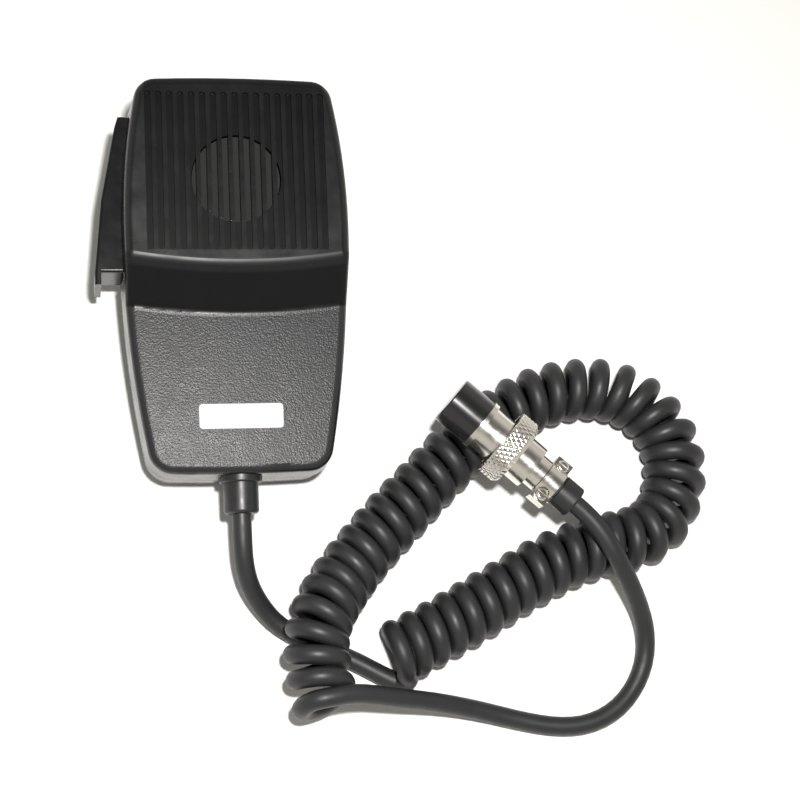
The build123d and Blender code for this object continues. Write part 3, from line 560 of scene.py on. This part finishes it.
@dataclass(frozen=True)
class Cloth:
    """Open woven acoustic cloth, threads along x and y."""

    name: str = "acoustic_cloth"
    thread_mm: float = 0.35

    def material(self) -> bpy.types.Material:
        """Returns the finished material."""
        shader = Shader(self.name)
        x, y, _ = shader.axes()
        turn = 2 * math.pi / (self.thread_mm * MM)
        warp = shader.math("SINE", shader.math("MULTIPLY", x, turn))
        weft = shader.math("SINE", shader.math("MULTIPLY", y, turn))
        weave = shader.spread(shader.math("MULTIPLY", warp, weft), -1.0, 1.0)
        threads = shader.mix(weave, (0.006, 0.006, 0.006), (0.03, 0.03, 0.03))
        shader.set(Base_Color=threads, Roughness=0.9)
        shader.set(Normal=shader.bump(weave, 0.08 * MM))
        return shader.material


@dataclass(frozen=True)
class Tabletop:
    """Pale plain table, very slightly mottled."""

    name: str = "tabletop"

    def material(self) -> bpy.types.Material:
        """Returns the finished material."""
        shader = Shader(self.name)
        mottle = shader.noise(90 * MM, 3.0)
        shader.set(Base_Color=shader.mix(mottle, (0.86, 0.855, 0.84), (0.89, 0.885, 0.87)))
        grain = shader.bump(shader.noise(0.8 * MM, 2.0), 0.02 * MM, 0.3)
        shader.set(Roughness=0.6, Normal=grain)
        return shader.material


# ------------------------------------------------------------------ shared helpers


def span(points: Sequence[Vector]) -> list[float]:
    """Measure along a line of points.

    Args:
        points: The points.

    Returns:
        The distance from the first point up to each one.
    """
    lengths = [0.0]
    for first, second in zip(points, points[1:]):
        lengths.append(lengths[-1] + (second - first).length)
    return lengths


def new_spline(name: str, points: Sequence[Sequence[float]]) -> bpy.types.Object:
    """Make a curve object of one open NURBS spline.

    Args:
        name: The object's name.
        points: The control points, in metres.

    Returns:
        The curve object, with no bevel.
    """
    curve = bpy.data.curves.new(name, "CURVE")
    curve.dimensions = "3D"
    spline = curve.splines.new("NURBS")
    spline.points.add(len(points) - 1)
    for point, place in zip(spline.points, points):
        point.co = (*place, 1.0)
    spline.order_u = 3
    spline.use_endpoint_u = True
    curve_object = bpy.data.objects.new(name, curve)
    bpy.context.scene.collection.objects.link(curve_object)
    return curve_object


def spline_points(points: Sequence[Sequence[float]], steps: int) -> list[Vector]:
    """Find the points that a NURBS spline passes through.

    Args:
        points: The spline's control points, in metres.
        steps: How many points to give for each control point.

    Returns:
        The points, in metres.
    """
    guide = new_spline("guide", points)
    guide.data.splines[0].resolution_u = steps
    mesh = bpy.data.meshes.new_from_object(guide)
    places = [vertex.co.copy() for vertex in mesh.vertices]
    bpy.data.meshes.remove(mesh)
    bpy.data.objects.remove(guide)
    return places


def mesh_piece(name: str, build: Callable[[bmesh.types.BMesh], None]) -> bpy.types.Object:
    """Make a smooth mesh object at the origin.

    Args:
        name: The object's name.
        build: A function that fills a bmesh.

    Returns:
        The mesh object.
    """
    work = bmesh.new()
    build(work)
    bmesh.ops.recalc_face_normals(work, faces=work.faces)
    mesh = bpy.data.meshes.new(name)
    work.to_mesh(mesh)
    work.free()
    mesh.shade_smooth()
    piece = bpy.data.objects.new(name, mesh)
    bpy.context.scene.collection.objects.link(piece)
    return piece


def finish_mesh(piece: bpy.types.Object) -> None:
    """Replace a piece's mesh with its evaluated one and remove its modifiers.

    Args:
        piece: The mesh object.
    """
    evaluated = piece.evaluated_get(bpy.context.evaluated_depsgraph_get())
    mesh = bpy.data.meshes.new_from_object(evaluated)
    piece.modifiers.clear()
    piece.data = mesh


# ------------------------------------------------------------------ camera and light


@dataclass(frozen=True)
class Studio:
    """Camera, floor and light.

    Attributes:
        camera_place: Where the camera stands.
        camera_right: The direction to the right of its view.
        camera_up: The direction to the top of its view.
        lens_mm: Its focal length on a 36 mm sensor.
        flash_place: Where the lamp beside the camera stands.
        flash_aim: The point it faces.
        flash_size: Its side.
        flash_watts: Its power.
        flash_colour: Its colour.
        surround: How bright the surround is at table height.
        zenith: How bright it is overhead.
        fade: The heights of the surround's unit sphere between which it darkens.
        surround_colour: The surround's colour.
    """

    camera_place: Point = (-0.0389, -0.138572, 0.431671)
    camera_right: Point = (0.98133, -0.06557, 0.18083)
    camera_up: Point = (0.01549, 0.96399, 0.26548)
    lens_mm: float = 76.51
    flash_place: Point = (-0.006, -0.088, 0.452)
    flash_aim: Point = (0.04, -0.02, 0.0)
    flash_size: float = 0.022
    flash_watts: float = 2.7
    flash_colour: Colour = (1.0, 0.985, 0.96)
    surround: float = 0.6
    zenith: float = 0.09
    fade: Range = (0.45, 0.95)
    surround_colour: Colour = (1.0, 0.965, 0.9)

    def add_camera(self) -> None:
        """Add the camera, looking down on the handset from its lower left."""
        data = bpy.data.cameras.new("camera")
        data.lens = self.lens_mm
        data.sensor_width = 36.0
        data.clip_start = 0.01
        camera = bpy.data.objects.new("camera", data)
        right, up = Vector(self.camera_right).normalized(), Vector(self.camera_up).normalized()
        back = right.cross(up)
        turn = Matrix((right, up, back)).transposed().to_4x4()
        camera.matrix_world = Matrix.Translation(self.camera_place) @ turn
        bpy.context.scene.collection.objects.link(camera)
        bpy.context.scene.camera = camera

    def add_flash(self) -> None:
        """Add the small square lamp beside the camera."""
        data = bpy.data.lights.new("flash", "AREA")
        data.size = self.flash_size
        data.energy = self.flash_watts
        data.color = self.flash_colour
        lamp = bpy.data.objects.new("flash", data)
        lamp.location = self.flash_place
        facing = Vector(self.flash_aim) - Vector(self.flash_place)
        lamp.rotation_euler = facing.to_track_quat("-Z", "Y").to_euler()
        bpy.context.scene.collection.objects.link(lamp)

    def add_light(self) -> None:
        """Add a soft surround, darker straight overhead, and the flash."""
        world = bpy.data.worlds.new("surround")
        world.use_nodes = True
        nodes, links = world.node_tree.nodes, world.node_tree.links
        coordinates = nodes.new("ShaderNodeTexCoord")
        axes = nodes.new("ShaderNodeSeparateXYZ")
        links.new(coordinates.outputs["Generated"], axes.inputs[0])
        fade = nodes.new("ShaderNodeMapRange")
        fade.interpolation_type = "SMOOTHSTEP"
        fade.inputs["From Min"].default_value, fade.inputs["From Max"].default_value = self.fade
        fade.inputs["To Min"].default_value = self.surround
        fade.inputs["To Max"].default_value = self.zenith
        links.new(axes.outputs[2], fade.inputs["Value"])
        background = nodes["Background"]
        background.inputs["Color"].default_value = (*self.surround_colour, 1.0)
        links.new(fade.outputs[0], background.inputs["Strength"])
        bpy.context.scene.world = world
        self.add_flash()
        bpy.context.scene.view_settings.view_transform = "Standard"

    def add_floor(self) -> None:
        """Add the pale table."""

        def build(work: bmesh.types.BMesh) -> None:
            """Fill the mesh with one flat square."""
            bmesh.ops.create_grid(work, x_segments=2, y_segments=2, size=3.0)

        floor = mesh_piece("table", build)
        floor.data.materials.append(Tabletop().material())


# ------------------------------------------------------------------ coupling ring


@dataclass
class GeometryTree:
    """A Geometry Nodes group that takes a mesh, moves its points and gives it a material.

    Attributes:
        name: The group's name.
        sockets: Its inputs besides the mesh, as names and socket types.
    """

    name: str
    sockets: dict[str, str]
    group: bpy.types.NodeTree = field(init=False)
    given: bpy.types.Node = field(init=False)

    def __post_init__(self) -> None:
        """Make the group, its sockets and its input node."""
        self.group = bpy.data.node_groups.new(self.name, "GeometryNodeTree")
        interface = self.group.interface
        for name, kind in {"Geometry": "NodeSocketGeometry", **self.sockets}.items():
            interface.new_socket(name, in_out="INPUT", socket_type=kind)
        interface.new_socket("Geometry", in_out="OUTPUT", socket_type="NodeSocketGeometry")
        self.given = self.group.nodes.new("NodeGroupInput")

    def math(self, operation: str, *values: object) -> bpy.types.NodeSocket:
        """Add a Math node.

        Args:
            operation: The node's operation.
            *values: Its inputs, as sockets or numbers.

        Returns:
            The result socket.
        """
        node = self.group.nodes.new("ShaderNodeMath")
        node.operation = operation
        for socket, value in zip(node.inputs, values):
            if isinstance(value, bpy.types.NodeSocket):
                self.group.links.new(value, socket)
            else:
                socket.default_value = value
        return node.outputs[0]

    def attribute(self, name: str) -> bpy.types.NodeSocket:
        """Read a number that each point carries.

        Args:
            name: The attribute's name.

        Returns:
            Its value.
        """
        node = self.group.nodes.new("GeometryNodeInputNamedAttribute")
        node.data_type = "FLOAT"
        node.inputs["Name"].default_value = name
        return node.outputs["Attribute"]

    def groove(self, position: bpy.types.NodeSocket) -> bpy.types.NodeSocket:
        """How far a place is from the middle of its tooth, from 0 to 1."""
        off_centre = self.math("SUBTRACT", self.math("FRACT", position), 0.5)
        return self.math("MULTIPLY", self.math("ABSOLUTE", off_centre), 2.0)

    def move_along_normal(self, distance: bpy.types.NodeSocket) -> None:
        """Move the points along their normals, give the material and end the tree.

        Args:
            distance: How far each point moves.
        """
        nodes, links = self.group.nodes, self.group.links
        scale = nodes.new("ShaderNodeVectorMath")
        scale.operation = "SCALE"
        links.new(nodes.new("GeometryNodeInputNormal").outputs[0], scale.inputs[0])
        links.new(distance, scale.inputs["Scale"])
        move = nodes.new("GeometryNodeSetPosition")
        links.new(self.given.outputs["Geometry"], move.inputs["Geometry"])
        links.new(scale.outputs[0], move.inputs["Offset"])
        realize = nodes.new("GeometryNodeRealizeInstances")
        links.new(move.outputs[0], realize.inputs[0])
        paint = nodes.new("GeometryNodeSetMaterial")
        links.new(realize.outputs[0], paint.inputs["Geometry"])
        links.new(self.given.outputs["Material"], paint.inputs["Material"])
        links.new(paint.outputs[0], nodes.new("NodeGroupOutput").inputs[0])

    def apply(self, piece: bpy.types.Object, values: dict[str, object]) -> None:
        """Run the group on a piece and keep the result as its plain mesh.

        Args:
            piece: The mesh object.
            values: The inputs' values, by name.
        """
        modifier = piece.modifiers.new(self.name, "NODES")
        modifier.node_group = self.group
        for item in self.group.interface.items_tree:
            if item.in_out == "INPUT" and item.name in values:
                modifier[item.identifier] = values[item.name]
        finish_mesh(piece)


@dataclass(frozen=True)
class KnurledRing:
    """The plug's coupling ring with its diamond knurl.

    Attributes:
        front: The front end of the plug's axis.
        rear: The rear end of the plug's axis.
        start: Where the ring starts, as a distance from the front end.
        stop: Where it stops.
        radius: Its outer radius.
        recess_radius: The radius of the recess at its front.
        recess_depth: The depth of that recess.
        bore: The radius of its bore.
        front_edge: The bevel at its front edge.
        rear_edge: The bevel at its rear edge.
        teeth: How many diamonds stand round it.
        tooth_length: One diamond's length along the axis.
        depth: The knurl's depth.
        flat: How much of each diamond's half width is left uncut at its top.
        steps_per_tooth: How many faces stand across a diamond.
        rows: How many rows of faces the knurl has.
    """

    front: Point = (56.71 * MM, -27.7 * MM, 24.6 * MM)
    rear: Point = (87.37 * MM, -55.14 * MM, 22.24 * MM)
    start: float = 16.55 * MM
    stop: float = 22.25 * MM
    radius: float = 9.22 * MM
    recess_radius: float = 7.6 * MM
    recess_depth: float = 3.65 * MM
    bore: float = 6.15 * MM
    front_edge: float = 0.3 * MM
    rear_edge: float = 1.0 * MM
    teeth: int = 46
    tooth_length: float = 2.2 * MM
    depth: float = 0.22 * MM
    flat: float = 0.18
    steps_per_tooth: int = 8
    rows: int = 34

    def profile(self) -> list[tuple[float, float]]:
        """Lay out the ring's outline.

        Returns:
            Distances along the axis and radii, round from the front inner edge.
        """
        knurl_start = self.start + self.front_edge
        length = self.stop - self.rear_edge - knurl_start
        rows = [knurl_start + length * row / self.rows for row in range(self.rows + 1)]
        floor = self.start + self.recess_depth
        return [
            (self.start, self.recess_radius),
            (self.start, self.radius - self.front_edge),
            *((row, self.radius) for row in rows),
            (self.stop, self.radius - self.rear_edge * 0.9),
            (self.stop, self.bore),
            (floor, self.bore),
            (floor, self.recess_radius),
        ]

    def lathe(self, work: bmesh.types.BMesh) -> None:
        """Turn the profile round the plug's axis, and note each point's place on it.

        Args:
            work: The mesh to fill.
        """
        front, rear = Vector(self.front), Vector(self.rear)
        axis = (rear - front).normalized()
        aside = Vector((0, 0, 1)).cross(axis).normalized()
        up = axis.cross(aside)
        round_layer = work.verts.layers.float.new("round")
        along_layer = work.verts.layers.float.new("along")
        knurl_layer = work.verts.layers.float.new("knurl")
        count = self.teeth * self.steps_per_tooth
        loops = []
        for distance, radius in self.profile():
            loop = []
            on_knurl = radius == self.radius
            for index in range(count):
                angle = 2 * math.pi * index / count
                ray = math.cos(angle) * aside + math.sin(angle) * up
                vertex = work.verts.new(front + axis * distance + radius * ray)
                vertex[round_layer] = index / self.steps_per_tooth
                vertex[along_layer] = distance - self.start
                vertex[knurl_layer] = 1.0 if on_knurl else 0.0
                loop.append(vertex)
            loops.append(loop)
        for first, second in zip(loops, [*loops[1:], loops[0]]):
            for index in range(count):
                after = (index + 1) % count
                work.faces.new((first[index], first[after], second[after], second[index]))

    def knurl_tree(self) -> GeometryTree:
        """Make the Geometry Nodes group that cuts the knurl.

        Returns:
            The group, with its depth and tooth length as inputs.
        """
        sockets = {
            "Depth": "NodeSocketFloat",
            "Tooth Length": "NodeSocketFloat",
            "Material": "NodeSocketMaterial",
        }
        tree = GeometryTree("diamond_knurl", sockets)
        turn = tree.attribute("round")
        along = tree.math("DIVIDE", tree.attribute("along"), tree.given.outputs["Tooth Length"])
        # whole teeth are added so that the difference stays above zero
        backwards = tree.math("SUBTRACT", tree.math("ADD", turn, 64.0), along)
        forwards = tree.math("ADD", turn, along)
        deepest = tree.math("MAXIMUM", tree.groove(forwards), tree.groove(backwards))
        # the cut is a whole depth at a diamond's edge and nothing on its flat
        steepness = tree.math("MULTIPLY", tree.given.outputs["Depth"], -1.22)
        cut = tree.math("MULTIPLY", tree.math("SUBTRACT", deepest, self.flat), steepness)
        cut = tree.math("MULTIPLY", tree.math("MINIMUM", cut, 0.0), tree.attribute("knurl"))
        tree.move_along_normal(cut)
        return tree

    def build(self, finish: bpy.types.Material) -> bpy.types.Object:
        """Build the ring.

        Args:
            finish: Its material.

        Returns:
            The ring's mesh object.
        """
        ring = mesh_piece("knurled_ring", self.lathe)
        values = {"Depth": self.depth, "Tooth Length": self.tooth_length, "Material": finish}
        self.knurl_tree().apply(ring, values)
        ring.data.set_sharp_from_angle(angle=math.radians(38))
        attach(ring, "coupling_ring")
        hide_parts("coupling_ring")
        return ring


# ------------------------------------------------------------------ cord


@dataclass(frozen=True)
class CurlyCord:
    """The whole free cord: lead, curly length and lead, as one spline.

    Routes are control points in millimetres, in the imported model's frame.

    Attributes:
        diameter: The jacket's diameter.
        coil_radius: The radius of the coil's centre line.
        turns: How many turns the coil has.
        points_per_turn: How many control points make a turn.
        start_degrees: The angle round the route at which the coil starts, from its side.
        last_lean: How far the last turn's foot leans out.
        lean_turns: Over how many of the last turns the lean grows.
        lead_in_points: How many of the coil's first points the lead takes the place of.
        crowding: How much closer the turns stand towards both ends.
        wobble: How much the turns' radius varies.
        wobble_rate: How fast it varies along the coil.
        lead_from_handset: The route of the lead at the handset.
        coil_route: The route of the coil's middle.
        lead_to_plug: The route of the lead at the plug.
    """

    diameter: float = 4.9 * MM
    coil_radius: float = 5.95 * MM
    turns: float = 45.5
    points_per_turn: int = 14
    start_degrees: float = -90.0
    last_lean: float = 5.0 * MM
    lean_turns: float = 1.6
    lead_in_points: int = 4
    crowding: float = 0.012
    wobble: float = 0.012
    wobble_rate: float = 65.7
    lead_from_handset: tuple[Point, ...] = (
        (3.1, -60.1, 15.81),
        (3.4, -65.8, 13.6),
        (4.8, -71.0, 10.0),
        (7.8, -75.7, 6.2),
        (12.0, -80.3, 3.4),
        (17.6, -83.8, 2.5),
        (24.0, -86.9, 2.5),
        (31.0, -90.0, 2.5),
        (36.2, -93.0, 2.5),
        (40.4, -95.4, 2.5),
        (43.7, -96.9, 3.2),
        (44.9, -95.9, 7.0),
    )
    coil_route: tuple[Point, ...] = (
        (39.4, -90.6, 8.5),
        (57.4, -82.2, 8.5),
        (71.4, -74.4, 8.5),
        (85.4, -67.2, 8.5),
        (97.4, -63.8, 8.5),
        (107.4, -62.3, 8.5),
        (114.4, -58.5, 8.5),
        (118.5, -52.4, 8.5),
        (120.5, -44.8, 8.5),
        (120.1, -36.9, 8.5),
        (116.8, -30.2, 8.5),
        (111.7, -25.1, 8.5),
        (105.5, -22.0, 8.5),
        (98.3, -21.0, 8.5),
        (89.4, -21.8, 8.5),
        (80.6, -24.6, 8.5),
        (70.2, -30.3, 8.5),
        (59.8, -38.5, 8.5),
        (47.8, -50.2, 8.5),
        (36.9, -60.8, 8.6),
        (27.8, -71.3, 9.8),
        (21.6, -80.8, 13.2),
        (19.8, -90.3, 14.0),
        (21.7, -100.9, 14.1),
    )
    lead_to_plug: tuple[Point, ...] = (
        (29.2, -99.8, 18.6),
        (40.0, -101.2, 13.9),
        (51.7, -102.3, 8.0),
        (62.9, -104.5, 3.9),
        (73.5, -107.5, 2.5),
        (83.0, -109.6, 2.5),
        (91.5, -109.5, 2.5),
        (99.3, -106.4, 2.5),
        (105.2, -100.7, 2.5),
        (108.7, -93.4, 3.2),
        (108.6, -85.9, 6.0),
        (105.8, -79.8, 10.6),
        (102.0, -74.3, 15.8),
        (97.9, -68.4, 20.0),
        (94.6, -63.1, 21.6),
        (90.94, -58.34, 21.96),
        (87.37, -55.14, 22.24),
    )

    def helix(self) -> list[Vector]:
        """Wind the coil's turns round its route.

        Returns:
            The helix's control points, in metres.
        """
        route = spline_points([[c * MM for c in p] for p in self.coil_route], 24)
        along = span(route)
        sweep = self.turns * 2 * math.pi
        count = int(self.turns * self.points_per_turn)
        # a quadratic spline runs inside its control points by this much
        widen = 1.0 / math.cos(math.pi / self.points_per_turn)
        points = []
        at = 0
        for index in range(count + 1):
            share = index / count
            # the turns stand a little closer towards both ends
            place = share - self.crowding * math.sin(2 * math.pi * share)
            distance = place * along[-1]
            while at < len(along) - 2 and along[at + 1] < distance:
                at += 1
            between = (distance - along[at]) / max(along[at + 1] - along[at], 1e-9)
            centre = route[at].lerp(route[at + 1], between)
            axis = (route[min(at + 2, len(route) - 1)] - route[max(at - 1, 0)]).normalized()
            aside = Vector((0, 0, 1)).cross(axis).normalized()
            up = axis.cross(aside)
            turn = math.radians(self.start_degrees) - share * sweep
            wobble = self.wobble * math.sin(self.wobble_rate * share + 1.0)
            reach = self.coil_radius * widen * (1.0 + wobble)
            ray = math.cos(turn) * aside + math.sin(turn) * up
            # the lead pulls the last turn's top back, so its foot leans out
            turns_left = (1.0 - share) * self.turns
            lean = self.last_lean * max(0.0, 1.0 - turns_left / self.lean_turns)
            foot = lean * (1.0 - math.sin(turn)) / 2
            points.append(centre + reach * ray + foot * axis)
        # the lead takes the place of the first part of the first turn
        return points[self.lead_in_points :]

    def build(self, exit_place: Vector, ring: bpy.types.Object) -> bpy.types.Object:
        """Build the cord.

        Args:
            exit_place: Where it leaves the strain relief.
            ring: The plug's coupling ring, which goes with the cord; not used.

        Returns:
            The cord's curve object.
        """
        start = [exit_place, *(Vector(p) * MM for p in self.lead_from_handset)]
        end = [Vector(p) * MM for p in self.lead_to_plug]
        points = [*start, *self.helix(), *end]
        cord = new_spline("curly_cord", points)
        cord.data.bevel_depth = self.diameter / 2
        cord.data.bevel_resolution = 6
        cord.data.splines[0].resolution_u = 3
        cord.data.use_fill_caps = True
        jacket = Rubber("cord_jacket", (0.0125, 0.013, 0.0142), 0.46).material()
        cord.data.materials.append(jacket)
        places = spline_points([tuple(p) for p in points], 3)
        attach(cord, "handset")
        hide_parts("cord_lead_mic", "cord_coil", "cord_lead_plug")
        return cord


# ------------------------------------------------------------------ the whole part


@dataclass(frozen=True)
class HandMicrophone:
    """Every piece and finish of the microphone.

    Attributes:
        tilt: The handset's turn about x, in radians, as it rests on its button.
        shift: Where the handset's own origin lies in the row frame, in metres.
        cord_exit_mm: Where the cord leaves the strain relief, in the handset's own frame.
    """

    frame: dict
    tilt: float = math.radians(6.3374)
    shift: Point = (0.0031, 0.0018, 0.004649)
    cord_exit_mm: Point = (0, -54.5, 18)

    def place(self, point_mm: Point) -> Vector:
        """A point of the handset's own frame, in millimetres, as a point of the row frame."""
        turn = Matrix.Rotation(self.tilt, 4, "X")
        return turn @ (Vector(point_mm) * MM) + Vector(self.shift)

    def paint(self, finish: bpy.types.Material, *nodes: str) -> None:
        """Give CAD nodes a finish.

        Args:
            finish: The material.
            *nodes: The nodes' names.
        """
        for node in nodes:
            target = self.frame["nodes"][node]
            if not target.material_slots:
                target.data.materials.append(finish)
            for material_slot in target.material_slots:
                material_slot.material = finish

    def paint_all(self, chrome: bpy.types.Material) -> None:
        """Give every CAD node that shows its finish.

        Args:
            chrome: The plug's plating.
        """
        case = CasePlastic("case_black", self.tilt, self.shift)
        self.paint(case.material(), "front_shell", "rear_shell")
        bar = Plastic("bar_black", (0.006, 0.006, 0.0066), 0.26, 0.3, 0.012, shine=0.22)
        self.paint(bar.material(), "talk_bar")
        self.paint(BrushedPlate().material(), "nameplate")
        self.paint(Cloth().material(), "grille_cloth")
        steel = PlatedMetal("zinc_steel", (0.6, 0.6, 0.58), 0.28)
        self.paint(
            steel.material(),
            "case_screws",
            "button_washer",
            "button_screw",
            "bracket_screws",
            "capsule_bracket",
            "board_screws",
            "cord_clamp_screws",
            "pivot_pin",
            "return_spring",
            "capsule_housing",
        )
        self.paint(
            chrome,
            "plug_barrel",
            "plug_backshell",
            "clamp_saddle",
            "saddle_screws",
            "hang_up_button",
        )
        gloss = Plastic("gloss_black", (0.009, 0.009, 0.01), 0.24, 0.0, coat=0.5)
        self.paint(gloss.material(), "plug_cap")
        relief = Rubber("relief_rubber", (0.012, 0.012, 0.013), 0.38)
        self.paint(relief.material(), "strain_relief", "plug_sleeve", "capsule_gasket")
        self.paint(bpy.data.materials["cord_jacket"], "cord_inside", "plug_cord_end")
        grey = Plastic("grey_inner_plastic", (0.05, 0.05, 0.054), 0.5, 0.3, 0.02)
        self.paint(
            grey.material(),
            "switch_body",
            "switch_plunger",
            "cord_clamp",
            "contact_insert",
            "board_capacitor",
            "board_resistors",
        )
        brass = PlatedMetal("contact_brass", (0.78, 0.58, 0.28), 0.2)
        self.paint(brass.material(), "contact_sockets", "switch_terminals")
        board = Plastic("board_green", (0.03, 0.12, 0.05), 0.35, 0.2, 0.01)
        self.paint(board.material(), "circuit_board")
        magnet = Plastic("magnet_grey", (0.05, 0.05, 0.05), 0.6, 0.2, 0.02)
        self.paint(magnet.material(), "capsule_magnet")
        film = Plastic("diaphragm_film", (0.5, 0.48, 0.4), 0.25, 0.0)
        self.paint(film.material(), "capsule_diaphragm")
        self.paint_wires()

    def paint_wires(self) -> None:
        """Give the wires their insulation."""
        insulation = {
            "red": (0.5, 0.02, 0.02),
            "white": (0.7, 0.7, 0.68),
            "yellow": (0.7, 0.5, 0.03),
            "black": (0.01, 0.01, 0.01),
        }
        for colour, tint in insulation.items():
            wire = Plastic(f"wire_{colour}", tint, 0.4, 0.0)
            self.paint(wire.material(), f"wire_{colour}")
        self.paint(bpy.data.materials["wire_white"], "plug_wires")

    def build(self) -> None:
        """Build the coupling ring and the cord, and paint every piece."""
        chrome = PlatedMetal("nickel_chrome").material()
        ring = KnurledRing().build(chrome)
        cord = CurlyCord().build(self.place(self.cord_exit_mm), ring)
        self.paint_all(chrome)
        for piece in (ring, cord):
            log.info("made %s", piece.name)
        for node in self.frame["nodes"]:
            log.info("painted or replaced %s", node)


def main() -> None:
    """Build the whole scene."""
    logging.basicConfig(level=logging.INFO)
    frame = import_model()
    studio = Studio()
    studio.add_camera()
    HandMicrophone(frame).build()
    studio.add_floor()
    studio.add_light()


if __name__ == "__main__":
    main()
